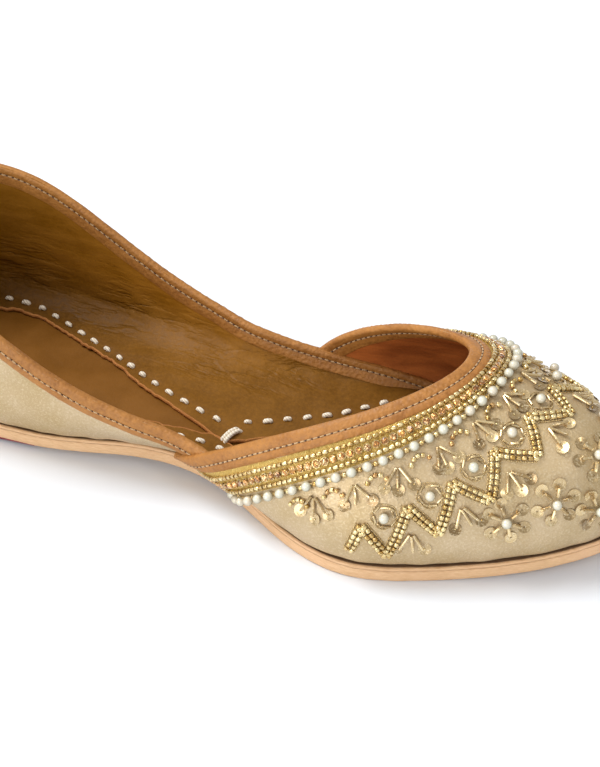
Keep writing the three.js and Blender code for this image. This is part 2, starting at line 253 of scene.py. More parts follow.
def vamp_points(turns, shares):
    """Grid of points on the vamp: a line for each turn, from bottom edge (0) to topline (1)."""
    turn = np.where(np.abs(turns) < 1e-3, 1e-3, turns)
    side = np.sign(turn)
    station = VAMP_STATION(turn)
    angle = upper_angle(station)
    middle = centreline(angle)
    fan = math.pi / 2 * np.clip(1 - np.abs(turn) / CORNER_TURN, 0, 1) ** 1.6
    spine = np.stack([station, middle, np.full_like(station, SECTION_CENTRE)], -1)
    upward = np.radians(90 - np.abs(turn))
    across = np.stack([0 * turn, side * np.cos(upward), np.sin(upward)], -1)
    top = leave_last(spine, across)
    outward = np.stack([np.sin(fan), side * np.cos(fan), 0 * fan], -1)
    back = np.abs(top[:, 1] - middle) / np.maximum(1e-3, np.cos(fan))
    start = np.stack([station, top[:, 1], spine[:, 2]], -1) - outward * back[:, None]
    low_start = start * (1, 1, 0) + (0, 0, 0.01)
    foot = leave_last(low_start, outward)
    highest = np.arctan2(top[:, 2] - SECTION_CENTRE, back)
    reach = np.hypot(foot[:, 0] - start[:, 0], foot[:, 1] - start[:, 1])
    lowest = np.arctan2(GAP - SECTION_CENTRE, reach)
    share = np.asarray(shares, float)[None, :]
    tilt = lowest[:, None] + (highest - lowest)[:, None] * share
    aim = outward[:, None, :] * np.cos(tilt)[..., None]
    aim = aim + np.sin(tilt)[..., None] * np.array((0.0, 0.0, 1.0))
    starts = np.broadcast_to(start[:, None, :], aim.shape)
    points = leave_last(starts, aim)
    points[..., 2] += feather_height(points[..., 0])
    return points


def quarter_points(alongs, shares):
    """Grid on the quarter: alongs from -1 (medial front) over 0 (heel) to 1 (lateral front)."""
    angle = np.maximum(1e-4, np.abs(alongs) * float(upper_angle(QUARTER_END)))
    base = upper_station(angle)
    top = QUARTER_TOP(base) - feather_height(base)
    height = GAP + (top - GAP)[:, None] * np.asarray(shares, float)[None, :]
    angles = np.broadcast_to(angle[:, None], height.shape)
    medial, lateral = wall_point(MEDIAL, angles, height), wall_point(LATERAL, angles, height)
    return np.where((alongs < 0)[:, None, None], medial, lateral)


def grid_normals(grid):
    """Unit normals of a grid, out of the shoe for a grid that runs clockwise from above."""
    along = np.gradient(grid, axis=0)
    upward = np.gradient(grid, axis=1)
    normals = np.cross(upward, along)
    return normals / np.maximum(1e-9, np.linalg.norm(normals, axis=-1, keepdims=True))


# ------------------------------------------------------------------ mesh tools
# Edges turning by more than these angles, in degrees, are drawn sharp.
SOFT_EDGE, CUT_EDGE, BEAD_EDGE, ROUND_EDGE, FACET_EDGE = 60.0, 50.0, 40.0, 80.0, 5.0
SAME_PLACE = 0.002
NO_LENGTH = 0.001


def to_frame(points):
    """Millimetres by station into metres in the shared frame."""
    return (np.asarray(points, float) + (-SOLE_LENGTH / 2, MIDLINE_SHIFT, 0)) * MM


def weld(mesh):
    """Joins points that lie on each other, such as along the edges of neighbouring grids."""
    joining = bmesh.new()
    joining.from_mesh(mesh)
    bmesh.ops.remove_doubles(joining, verts=joining.verts, dist=SAME_PLACE * MM)
    bmesh.ops.dissolve_degenerate(joining, edges=joining.edges, dist=NO_LENGTH * MM)
    joining.to_mesh(mesh)
    joining.free()


def add_piece(name, points, faces, material, slot, sharp, tone=None, replaces=()):
    """A mesh object from points in millimetres, riding on the shoe's one body."""
    mesh = bpy.data.meshes.new(name)
    faces = faces.tolist() if isinstance(faces, np.ndarray) else faces
    mesh.from_pydata(to_frame(points), [], faces)
    mesh.validate()
    if tone is None:
        weld(mesh)
    mesh.shade_smooth()
    mesh.set_sharp_from_angle(angle=math.radians(sharp))
    if tone is not None:
        layer = mesh.attributes.new("tone", "FLOAT", "POINT")
        layer.data.foreach_set("value", np.asarray(tone, np.float32))
    mesh.materials.append(material)
    piece = bpy.data.objects.new(name, mesh)
    bpy.context.scene.collection.objects.link(piece)
    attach(piece, BODY)
    if replaces:
        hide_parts(*replaces)
    return piece


def quads(lines, rows, start=0, flip=False, closed_lines=False, closed_rows=False):
    """Faces of a grid of points, line after line."""
    i, j = np.meshgrid(np.arange(lines - (not closed_lines)),
                       np.arange(rows - (not closed_rows)), indexing="ij")
    i2, j2 = (i + 1) % lines, (j + 1) % rows
    faces = np.stack([i * rows + j, i * rows + j2, i2 * rows + j2, i2 * rows + j], -1)
    faces = faces.reshape(-1, 4) + start
    return faces[:, ::-1] if flip else faces


def shell(outer, inner):
    """Points and faces of a closed wall between an outer and an inner grid."""
    lines, rows = outer.shape[:2]
    count = lines * rows
    points = np.concatenate([outer.reshape(-1, 3), inner.reshape(-1, 3)])
    faces = [quads(lines, rows), quads(lines, rows, count, flip=True)]
    index = np.arange(count).reshape(lines, rows)
    loops = ((index[:, 0], False), (index[:, -1], True), (index[0], True), (index[-1], False))
    for edge, flip in loops:
        a, b = edge[:-1], edge[1:]
        side = np.stack([a, b, b + count, a + count], -1)
        faces.append(side[:, ::-1] if flip else side)
    return points, np.concatenate(faces)


def loft(rings):
    """Points and faces of a tube through rings of points, with flat ends."""
    lines, rows = rings.shape[:2]
    faces = quads(lines, rows, closed_rows=True).tolist()
    faces.append(list(range(rows)))
    faces.append(list(range(lines * rows - 1, (lines - 1) * rows - 1, -1)))
    return rings.reshape(-1, 3), faces


def turned_rings(profile, sides):
    """Rings round the X axis, one for each (along, across) step of a profile."""
    turns = np.arange(sides) * 2 * math.pi / sides
    return np.array([[(x, r * math.cos(t), r * math.sin(t)) for t in turns] for x, r in profile])


def tube(middle, first, second, sides):
    """Points and faces of a rod along a line, given two radii of it square to each other."""
    turns = np.linspace(0, 2 * math.pi, sides + 1)[:-1]
    rings = [middle + first * math.cos(t) + second * math.sin(t) for t in turns]
    return loft(np.array(rings).transpose(1, 0, 2))


def joined(parts):
    """One mesh of several: points and faces, in order."""
    points, faces, start = [], [], 0
    for part_points, part_faces in parts:
        points.append(part_points)
        faces += [[v + start for v in face] for face in part_faces]
        start += len(part_points)
    return np.concatenate(points), faces


def lathe(profile, sides):
    """Points and faces of a closed profile of (across, along) steps turned round the X axis."""
    turns = np.arange(sides) * 2 * math.pi / sides
    rings = [[(x, r * math.cos(t), r * math.sin(t)) for r, x in profile] for t in turns]
    points = np.array(rings)
    return points.reshape(-1, 3), quads(sides, len(profile), closed_lines=True, closed_rows=True)


def unit(vectors):
    return vectors / np.maximum(1e-9, np.linalg.norm(vectors, axis=-1, keepdims=True))


def frames_from(along, normal):
    """Rotations whose X axis runs along, whose Z axis is the normal made square to it."""
    x = unit(np.asarray(along, float))
    z = np.asarray(normal, float)
    z = unit(z - (z * x).sum(-1, keepdims=True) * x)
    return np.stack([x, np.cross(z, x), z], -1)


def scatter(template, places, turns, scales=None, tones=None):
    """One joined mesh of copies of a template, each turned by a rotation and set in its place."""
    points, faces = template
    count = len(places)
    scales = np.ones((count, 3)) if scales is None else np.asarray(scales, float)
    local = points[None] * scales[:, None, :]
    world = np.einsum("nij,nkj->nki", turns, local) + np.asarray(places)[:, None, :]
    all_points, all_faces = joined([(copy, faces) for copy in world])
    tone = None if tones is None else np.repeat(np.asarray(tones, float), len(points))
    return all_points, all_faces, tone


def arc_lengths(points):
    steps = np.linalg.norm(np.diff(points, axis=0), axis=-1)
    return np.concatenate([[0.0], np.cumsum(steps)])


def resample(points, at):
    """Points of a polyline at given distances along it."""
    reach = arc_lengths(points)
    return np.stack([np.interp(at, reach, points[:, k]) for k in range(points.shape[1])], -1)


def run_at(points, at, reach):
    """Which way a polyline runs at given distances along it."""
    return resample(points, at + reach) - resample(points, at - reach)


def seats(points, normals, at):
    """Places and rotations on a polyline that has normals, at given distances along it."""
    reach = arc_lengths(points)
    out = np.stack([np.interp(at, reach, normals[:, k]) for k in range(3)], -1)
    return resample(points, at), frames_from(run_at(points, at, 0.3), out)


def even_steps(total, pitch, margin=0.0):
    """Distances along a line, even and near a pitch, that leave a margin at both ends."""
    count = max(1, int(round((total - 2 * margin) / pitch)))
    return np.linspace(margin, total - margin, count + 1)


# ------------------------------------------------------------------ the leather's two sheets
WALL = 1.9
UNDERLAP = 1.4
SKIN = 0.8
LINING = 1.0
VAMP_LINES, VAMP_ROWS = 288, 88
QUARTER_LINES, QUARTER_ROWS = 340, 40
UNDERLAP_START = 104.0
UNDERLAP_RUN = 16.0


class Sheet:
    """A grid of points on the last, with normals and each point's distance from the topline."""

    def __init__(self, points, step_in):
        self.points = points - grid_normals(points) * step_in[:, None, None]
        self.normals = grid_normals(self.points)
        topline = self.points[:, -1]
        flat = self.points.reshape(-1, 3)
        nearest = np.empty(len(flat))
        block = 4096
        for k in range(0, len(flat), block):
            gap = flat[k:k + block, None, :] - topline[None, ::2, :]
            nearest[k:k + block] = np.sqrt((gap ** 2).sum(-1).min(1))
        self.distance = nearest.reshape(self.points.shape[:2])
        self.distance[:, -1] = 0.0
        self.climb = unit(self.points[:, -1] - self.points[:, -3])

    def at(self, line, distance, lift=0.0):
        """Points and normals at line numbers (with fractions) and distances from the topline."""
        line, distance = np.broadcast_arrays(np.asarray(line, float), np.asarray(distance, float))
        lift = np.broadcast_to(np.asarray(lift, float), line.shape)
        spots, outs = np.empty(line.shape + (3,)), np.empty(line.shape + (3,))
        for k in np.ndindex(line.shape):
            low = min(int(line[k]), len(self.points) - 2)
            part = line[k] - low
            spot, out = np.zeros(3), np.zeros(3)
            for i, weight in ((low, 1 - part), (low + 1, part)):
                reach = self.distance[i, ::-1]
                inward = max(0.0, distance[k])
                here = [np.interp(inward, reach, self.points[i, ::-1, c]) for c in range(3)]
                aim = [np.interp(inward, reach, self.normals[i, ::-1, c]) for c in range(3)]
                above = self.climb[i] * max(0.0, -distance[k])
                spot += weight * (np.array(here) + above)
                out += weight * np.array(aim)
            outs[k] = out / np.linalg.norm(out)
            spots[k] = spot + outs[k] * lift[k]
        return spots, outs

    def reach(self, line):
        """Distance from the topline of the sheet's bottom edge, by line number."""
        return np.interp(line, np.arange(len(self.points)), self.distance[:, 0])


@lru_cache(maxsize=None)
def vamp_turns():
    return np.linspace(CORNER_TURN, -CORNER_TURN, VAMP_LINES + 1)


@lru_cache(maxsize=None)
def vamp_sheet():
    points = vamp_points(vamp_turns(), np.linspace(0, 1, VAMP_ROWS + 1))
    return Sheet(points, np.zeros(VAMP_LINES + 1))


@lru_cache(maxsize=None)
def quarter_reach():
    """Angle of the quarter's hidden front end."""
    return float(upper_angle(QUARTER_END))


@lru_cache(maxsize=None)
def quarter_sheet():
    alongs = np.linspace(-1, 1, QUARTER_LINES + 1)
    points = quarter_points(alongs, np.linspace(0, 1, QUARTER_ROWS + 1))
    under_vamp = smooth_step((points[:, 0, 0] - UNDERLAP_START) / UNDERLAP_RUN)
    return Sheet(points, UNDERLAP * under_vamp)


def waves(points, seed, sizes, count=5):
    """Smooth made-up unevenness, mostly between -1 and 1, from waves of the given lengths."""
    dice = np.random.default_rng(seed)
    total = np.zeros(points.shape[:-1])
    for size in sizes:
        for _ in range(count):
            aim = unit(dice.normal(size=3)) * 2 * math.pi / (size * dice.uniform(0.75, 1.3))
            total += np.sin(points @ aim + dice.uniform(0, 2 * math.pi))
    return total / math.sqrt(len(sizes) * count)


# ------------------------------------------------------------------ materials
def shade(code):
    """Linear colour from the usual six-digit screen code."""
    parts = [int(code[k:k + 2], 16) / 255 for k in (0, 2, 4)]
    return tuple(c / 12.92 if c <= 0.04045 else ((c + 0.055) / 1.055) ** 2.4 for c in parts)


def opaque(colour):
    return (*tuple(colour)[:3], 1.0)


def times(colour, factor):
    """A colour made lighter or darker."""
    return tuple(c * factor for c in tuple(colour)[:3])


class Finish:
    """A material and short ways of adding nodes to it."""

    def __init__(self, name, **sockets):
        self.material = bpy.data.materials.new(name)
        self.material.use_nodes = True
        self.tree = self.material.node_tree
        self.shader = self.tree.nodes["Principled BSDF"]
        for socket, value in sockets.items():
            self.shader.inputs[socket.replace("_", " ")].default_value = value
        place = self.tree.nodes.new("ShaderNodeTexCoord")
        self.place = place.outputs["Object"]

    def node(self, kind, links=None, **settings):
        made = self.tree.nodes.new("ShaderNode" + kind)
        for key, value in settings.items():
            setattr(made, key, value)
        for key, value in (links or {}).items():
            socket = made.inputs[key]
            if isinstance(value, bpy.types.NodeSocket):
                self.tree.links.new(value, socket)
            else:
                socket.default_value = value
        return made

    def stretched(self, scale):
        """Object place with each axis scaled, for grain that runs one way."""
        node = self.node("Mapping", {"Vector": self.place, "Scale": scale})
        return node.outputs["Vector"]

    def noise(self, scale, detail=3.0, rough=0.5, at=None):
        links = {"Vector": at or self.place, "Scale": scale, "Detail": detail, "Roughness": rough}
        return self.node("TexNoise", links).outputs["Fac"]

    def cells(self, scale, feature="F1"):
        links = {"Vector": self.place, "Scale": scale}
        return self.node("TexVoronoi", links, feature=feature).outputs["Distance"]

    def band(self, value, low, high, to_low=0.0, to_high=1.0):
        links = {"Value": value, "From Min": low, "From Max": high,
                 "To Min": to_low, "To Max": to_high}
        return self.node("MapRange", links).outputs["Result"]

    def mix(self, share, first, second):
        """Two colours mixed; the Mix node keeps its colour sockets at these numbers."""
        share_socket, first_socket, second_socket, colour_out = 0, 6, 7, 2
        links = {share_socket: share}
        for index, value in ((first_socket, first), (second_socket, second)):
            links[index] = value if isinstance(value, bpy.types.NodeSocket) else opaque(value)
        return self.node("Mix", links, data_type="RGBA").outputs[colour_out]

    def sum(self, first, second, operation="ADD"):
        return self.node("Math", {0: first, 1: second}, operation=operation).outputs[0]

    def tone(self):
        return self.node("Attribute", attribute_name="tone").outputs["Fac"]

    def axis(self, name):
        split = self.node("SeparateXYZ", {"Vector": self.place})
        return split.outputs[name]

    def colour(self, value):
        self.tree.links.new(value, self.shader.inputs["Base Color"])

    def roughness(self, value):
        self.tree.links.new(value, self.shader.inputs["Roughness"])

    def bump(self, height, distance, strength, below=None):
        links = {"Height": height, "Distance": distance, "Strength": strength}
        if below is not None:
            links["Normal"] = below
        normal = self.node("Bump", links).outputs["Normal"]
        self.tree.links.new(normal, self.shader.inputs["Normal"])
        return normal


def gold_skin(colours):
    """Thin gold foil on fine leather: a soft even sheen over a crackled grain, with painted sparkle
    specks and painted shade along its foot.
    """
    f = Finish("gold_skin", Metallic=0.55, Specular_IOR_Level=0.5)
    cloud = f.noise(60.0, 4.0, 0.55)
    speck = f.noise(1700.0, 3.0, 0.6)
    cracks = f.band(f.cells(900.0, "DISTANCE_TO_EDGE"), 0.0, 0.12)
    base = f.mix(f.band(cloud, 0.3, 0.7), colours.gold_skin_deep, colours.gold_skin)
    # Painted sparkle: fine specks lightened as glints of the foil.
    base = f.mix(f.band(speck, 0.5, 0.78, 0.0, 0.4), base, shade("ecdfc0"))
    base = f.mix(f.band(cracks, 1.0, 0.0, 0.0, 0.16), base, shade("9c7c4a"))
    # The tone paints shade along the skin's foot, in the crevice above the sole.
    f.colour(f.mix(f.band(f.tone(), 0.0, 1.0, 0.0, 0.85), base, shade("2a190c")))
    f.roughness(f.band(f.sum(speck, cloud, "MULTIPLY"), 0.14, 0.4, 0.52, 0.36))
    soft = f.bump(cloud, 0.001, 0.3)
    grain = f.bump(f.cells(1250.0, "SMOOTH_F1"), 0.00014, 0.5, soft)
    f.bump(speck, 0.0002, 0.6, grain)
    return f.material


def grained_leather(name, light, dark, scale, **sockets):
    """Smooth vegetable-tanned leather: patchy dye, pores and a fine pebble grain."""
    f = Finish(name, **sockets)
    patch = f.noise(70.0, 4.0, 0.6)
    fine = f.noise(620.0, 4.0, 0.6)
    pores = f.band(f.cells(scale * 0.8), 0.02, 0.2)
    base = f.mix(f.band(patch, 0.34, 0.68), dark, light)
    base = f.mix(f.band(fine, 0.35, 0.7, 0.0, 0.6), base, times(light, 1.25))
    f.colour(f.mix(f.band(pores, 1.0, 0.0, 0.0, 0.4), base, times(dark, 0.5)))
    f.roughness(f.band(fine, 0.3, 0.7, 0.46, 0.62))
    soft = f.bump(patch, 0.0006, 0.4)
    pebble = f.bump(f.cells(scale, "SMOOTH_F1"), 0.0003, 0.8, soft)
    f.bump(fine, 0.00012, 0.5, pebble)
    return f.material


def lining_leather(name, light, dark, paints_inner_shade):
    """Satin lining leather, wrinkled where the tone says so, with painted shade in the folds; if
    asked, shade is also painted towards the heel and low down.
    """
    f = Finish(name, Specular_IOR_Level=0.12)
    run = f.stretched((1.0, 1.0, 3.2))
    crease = f.noise(75.0, 3.0, 0.5, run)
    folds = f.noise(170.0, 3.0, 0.6, f.stretched((0.3, 1.0, 1.5)))
    wrinkle = f.sum(f.band(folds, 0.42, 0.5), f.band(folds, 0.5, 0.58), "SUBTRACT")
    wrinkle = f.sum(wrinkle, f.tone(), "MULTIPLY")
    fine = f.noise(900.0, 4.0, 0.6)
    base = f.mix(f.band(crease, 0.36, 0.66), dark, light)
    if paints_inner_shade:
        # Painted shade towards the heel, on a lining whose own colour is also somewhat darker
        # there.
        shaded = f.mix(0.66, base, shade("3c2204"))
        base = f.mix(f.band(f.axis("X"), -0.118, 0.02), shaded, base)
        # Painted shade low down inside the shoe, below about 24 mm in height.
        low = f.mix(0.7, base, shade("332110"))
        base = f.mix(f.band(f.axis("Z"), 0.008, 0.024), low, base)
    base = f.mix(f.band(fine, 0.4, 0.75, 0.0, 0.12), base, times(light, 1.2))
    # Painted shade in the folds of the wrinkles.
    f.colour(f.mix(f.band(wrinkle, 0.2, 1.0, 0.0, 0.12), base, times(dark, 0.4)))
    f.roughness(f.band(fine, 0.3, 0.7, 0.42, 0.56))
    soft = f.bump(crease, 0.0009, 0.45)
    folded = f.bump(wrinkle, -0.00042, 0.8, soft)
    f.bump(f.cells(1500.0, "SMOOTH_F1"), 0.00012, 0.45, folded)
    return f.material


def cut_edge(name, light, dark, line):
    """The raw cut edge and flesh side of thick leather, with its fibres lying along the shoe."""
    f = Finish(name, Specular_IOR_Level=0.3)
    layers = f.stretched((1.0, 1.0, 9.0))
    fibre = f.noise(420.0, 5.0, 0.7, layers)
    patch = f.noise(60.0, 3.0, 0.6)
    base = f.mix(f.band(fibre, 0.32, 0.7), dark, light)
    base = f.mix(f.band(patch, 0.4, 0.7, 0.0, 0.45), base, line)
    # The tone darkens the sole's groove line, and paints shade on its upper face under the upper.
    f.colour(f.mix(f.band(f.tone(), 0.0, 1.0), base, shade("3c200e")))
    f.roughness(f.band(fibre, 0.3, 0.7, 0.62, 0.82))
    rough = f.bump(fibre, 0.0003, 0.6)
    f.bump(f.noise(2400.0, 2.0, 0.6), 0.0001, 0.5, rough)
    return f.material


def twisted_thread(name, light, dark, pitch=1100.0):
    """Waxed cotton, its plies showing as slanting ribs, with painted shade between them."""
    f = Finish(name, Roughness=0.7, Sheen_Weight=0.25, Sheen_Roughness=0.5)
    ribs = f.node("TexWave", {"Vector": f.place, "Scale": pitch, "Distortion": 1.5},
                  bands_direction="DIAGONAL").outputs["Fac"]
    # The ribs' darker bands are painted shade between the plies.
    f.colour(f.mix(ribs, dark, light))
    f.bump(ribs, 0.00012, 0.7)
    return f.material


def pearl(colours):
    """Pearl beads: a milky body with painted shade greying it towards the rim, under a smooth
    lustrous coat.
    """
    f = Finish("pearl", Roughness=0.25, Coat_Weight=0.8, Coat_Roughness=0.05)
    facing = f.node("LayerWeight", {"Blend": 0.4}).outputs["Facing"]
    blush = f.mix(f.band(f.tone(), 0.0, 1.0), colours.pearl, shade("d8ccb6"))
    # Painted shade: the colour greys towards the rim by the facing angle.
    f.colour(f.mix(f.band(facing, 0.05, 0.8, 0.0, 0.9), blush, shade("857d5e")))
    f.bump(f.noise(700.0, 2.0), 0.00008, 0.3)
    return f.material


def metal_beads(name, light, dark, painted_glint, roughness=0.24, metallic=0.75, relief=0.5):
    """Small gilt glass beads, no two quite the same colour, with glints painted in streaks."""
    f = Finish(name, Metallic=metallic, Coat_Weight=0.5, Coat_Roughness=0.08)
    base = f.mix(f.tone(), dark, light)
    streak = f.noise(1800.0, 2.0, 0.6)
    # Painted highlight: streaks of the noise lighten the colour towards the glint colour.
    f.colour(f.mix(f.band(streak, 0.52, 0.8, 0.0, 0.7), base, painted_glint))
    f.roughness(f.band(streak, 0.3, 0.7, roughness * 0.7, roughness * 1.5))
    f.bump(streak, 0.00008, relief)
    return f.material


def amber_stone(colours):
    """Faceted foil-backed glass in brown and honey tones, with painted sparkle."""
    f = Finish("amber_stone", Metallic=0.6, Roughness=0.08, Coat_Weight=1.0, Coat_Roughness=0.02)
    base = f.mix(f.tone(), colours.stone_deep, colours.stone)
    spark = f.cells(1100.0)
    # Painted sparkle: spots lightened towards a pale glint colour.
    f.colour(f.mix(f.band(spark, 0.55, 0.2, 0.0, 0.85), base, shade("fbe0a8")))
    f.bump(spark, 0.0005, 0.9)
    return f.material


def wound_metal(name, light, dark):
    """Fine metal wire laid close, seen as ribs across the strip, with painted glints on the ribs
    and painted shade between them.
    """
    f = Finish(name, Metallic=0.6)
    ribs = f.node("TexWave", {"Vector": f.place, "Scale": 900.0, "Distortion": 6.0,
                              "Detail": 2.0}, bands_direction="X").outputs["Fac"]
    glint = f.noise(1300.0, 3.0, 0.6)
    # Painted glints where ribs and glint noise meet, and painted shade between the ribs.
    f.colour(f.mix(f.band(f.sum(ribs, glint, "MULTIPLY"), 0.1, 0.5), dark, light))
    f.roughness(f.band(glint, 0.3, 0.7, 0.28, 0.5))
    f.bump(ribs, 0.00018, 0.8)
    return f.material


def lift_rubber(colours):
    f = Finish("lift_rubber", Specular_IOR_Level=0.35)
    dust = f.noise(380.0, 5.0, 0.65)
    f.colour(f.mix(f.band(dust, 0.4, 0.75, 0.0, 0.6), colours.lift, shade("b8646a")))
    f.roughness(f.band(dust, 0.3, 0.7, 0.55, 0.8))
    f.bump(f.noise(1500.0, 3.0, 0.6), 0.00015, 0.6)
    return f.material


def floor_paint():
    f = Finish("floor_paint", Roughness=0.65, Specular_IOR_Level=0.2)
    f.colour(f.mix(f.noise(3.0), shade("e3e7ed"), shade("e6eaf0")))
    return f.material


@lru_cache(maxsize=None)
def finishes():
    """Every material of the shoe, by name."""
    c = bpy.context.scene.mojari_colours
    return {
        "gold_skin": gold_skin(c),
        "binding": grained_leather("binding_leather", c.binding, c.binding_deep, 1100.0,
                                   Specular_IOR_Level=0.4),
        "quarter_lining": lining_leather("quarter_lining", c.lining, c.lining_deep, True),
        "vamp_lining": lining_leather("vamp_lining", c.toe_lining, c.toe_lining_deep, False),
        "insole": lining_leather("insole_leather", c.insole, c.insole_deep, False),
        "sole": cut_edge("sole_leather", c.sole_edge, c.sole_edge_deep, shade("e2b792")),
        "raw_edge": cut_edge("raw_edge", shade("bc7c40"), shade("925a28"), shade("c98c50")),
        "lift": lift_rubber(c),
        "machine_thread": twisted_thread("machine_thread", shade("d6b68a"), shade("a07a4c")),
        "needle_hole_shade": twisted_thread("needle_hole_shade", shade("5c3818"), shade("40240e")),
        "hand_thread": twisted_thread("hand_thread", shade("f3e8d6"), shade("cdbea4"), 500.0),
        "pearl": pearl(c),
        "gold_bead": metal_beads("gold_bead", c.bead, c.bead_deep, shade("fff3c8")),
        "bugle": metal_beads("bugle_glass", shade("e4cb98"), shade("a58756"), shade("fff6dc"),
                             0.2, 0.7),
        "sequin": metal_beads("sequin_foil", shade("e0c592"), shade("866a40"), shade("fbeecb"),
                              0.24, 0.7, 0.12),
        "copper_bead": metal_beads("copper_bead", shade("dcb474"), shade("b4864a"),
                                   shade("ffe2ae")),
        "stone": amber_stone(c),
        "strip": wound_metal("gold_strip", shade("f2d888"), shade("b98e36")),
        "wire": wound_metal("gold_wire", shade("f0dcac"), shade("bd9c62")),
        "floor": floor_paint(),
    }


# ------------------------------------------------------------------ settings a user would change
def length(name, description, value):
    """A size property, kept in metres and given here in millimetres."""
    return bpy.props.FloatProperty(name=name, description=description, default=value * MM,
                                   min=0.0, unit="LENGTH", subtype="DISTANCE", precision=5)


def paint(name, description, code):
    return bpy.props.FloatVectorProperty(name=name, description=description, subtype="COLOR",
                                         size=3, min=0.0, max=1.0, default=shade(code))


class MojariSizes(bpy.types.PropertyGroup):
    """Sizes of the trim and the beadwork."""

    binding_width: length("Binding width", "Leather binding below the topline", 5.8)
    stitch_pitch: length("Machine stitch pitch", "From one machine stitch to the next", 1.9)
    hand_pitch: length("Hand stitch pitch", "From one hand stitch to the next", 6.0)
    pearl_size: length("Pearl diameter", "Diameter of the pearls in the border", 2.8)
    pearl_pitch: length("Pearl pitch", "From one pearl to the next in the border", 4.4)
    seed_size: length("Seed bead diameter", "Diameter of the small gilt beads", 1.4)
    stone_pitch: length("Stone pitch", "From one set stone to the next", 2.4)
    bugle_length: length("Bugle length", "Length of the long beads in the sprays", 5.2)
    sequin_size: length("Sequin diameter", "Diameter of the flat sequins", 3.6)


class MojariColours(bpy.types.PropertyGroup):
    """Colours of the leathers and the beads."""

    gold_skin: paint("Gold skin", "Light parts of the gilt upper", "c4ae8c")
    gold_skin_deep: paint("Gold skin, deep", "Dark parts of the gilt upper", "b39b70")
    binding: paint("Binding", "Light parts of the binding leather", "a36e33")
    binding_deep: paint("Binding, deep", "Dark parts of the binding leather", "885520")
    lining: paint("Lining", "Light parts of the quarter's lining", "b27826")
    lining_deep: paint("Lining, deep", "Dark parts of the quarter's lining", "9c6614")
    toe_lining: paint("Toe lining", "Light parts of the vamp's lining", "b06430")
    toe_lining_deep: paint("Toe lining, deep", "Dark parts of the vamp's lining", "8a4a22")
    insole: paint("Insole", "Light parts of the insole leather", "7a4f1c")
    insole_deep: paint("Insole, deep", "Dark parts of the insole leather", "6b4311")
    sole_edge: paint("Sole edge", "Light parts of the sole's cut edge", "dfbb92")
    sole_edge_deep: paint("Sole edge, deep", "Dark parts of the sole's cut edge", "c59a6e")
    lift: paint("Heel lift", "Rubber under the heel", "6e1624")
    pearl: paint("Pearl", "Body of the pearls", "d2d0bd")
    bead: paint("Bead", "Light gilt beads", "ecd8a0")
    bead_deep: paint("Bead, deep", "Dark gilt beads", "b48c40")
    stone: paint("Stone", "Light set stones", "d89a4e")
    stone_deep: paint("Stone, deep", "Dark set stones", "7c4a1e")


def size(name):
    """A size property in millimetres."""
    return getattr(bpy.context.scene.mojari_sizes, name) / MM


# ------------------------------------------------------------------ sole, lift and insole
class MojariPiece:
    """Shared by the operators that make pieces of the shoe."""

    bl_options = {"REGISTER", "UNDO"}

    def execute(self, context):
        self.make()
        return {"FINISHED"}


def outline_at(angles, half_widths, stations, inset):
    """Closed plan outline, medial side first, drawn in by an inset square to itself."""
    medial = np.stack([stations, -half_widths[MEDIAL](angles)], -1)
    lateral = np.stack([stations, half_widths[LATERAL](angles)], -1)[::-1][1:-1]
    ring = np.concatenate([medial, lateral])
    ahead = np.roll(ring, -1, 0) - np.roll(ring, 1, 0)
    inward = unit(np.stack([-ahead[:, 1], ahead[:, 0]], -1))
    return ring + inward * inset


FACE_COLUMNS = 25


def face_grid(ring):
    """Points over a closed outline, line after line from the medial to the lateral side."""
    count = len(ring) // 2 + 1
    partner = np.concatenate([[0], np.arange(len(ring) - 1, count - 1, -1), [count - 1]])
    share = np.linspace(0, 1, FACE_COLUMNS)[None, :, None]
    return ring[:count, None] * (1 - share) + ring[partner, None] * share


def solid_plate(profile, half_widths, station_of, underside, angles, relief=None):
    """A closed plate: rings of its outline at (inset, height) steps, and two faces.

    Its upper face is shaped by a relief over plan places if one is given.
    """
    stations = station_of(angles)
    rings = []
    for inset, height in profile:
        ring = outline_at(angles, half_widths, stations, inset)
        rings.append(np.column_stack([ring, underside(ring[:, 0]) + height]))
    rings = np.array(rings)
    lines, rows = rings.shape[:2]
    points, faces = [rings.reshape(-1, 3)], [quads(lines, rows, closed_rows=True)]
    for ring, height, upper in ((rings[-1], profile[-1][1], True),
                                (rings[0], profile[0][1], False)):
        grid = face_grid(ring)
        grid[..., 2] = underside(grid[..., 0]) + height
        if upper and relief is not None:
            inside = np.abs(np.linspace(-1, 1, grid.shape[1]))
            grid[..., 2] += relief(grid) * (1 - inside ** 6)
        start = sum(len(p) for p in points)
        faces.append(quads(*grid.shape[:2], start, flip=upper))
        points.append(grid.reshape(-1, 3))
    return np.concatenate(points), np.concatenate(faces)


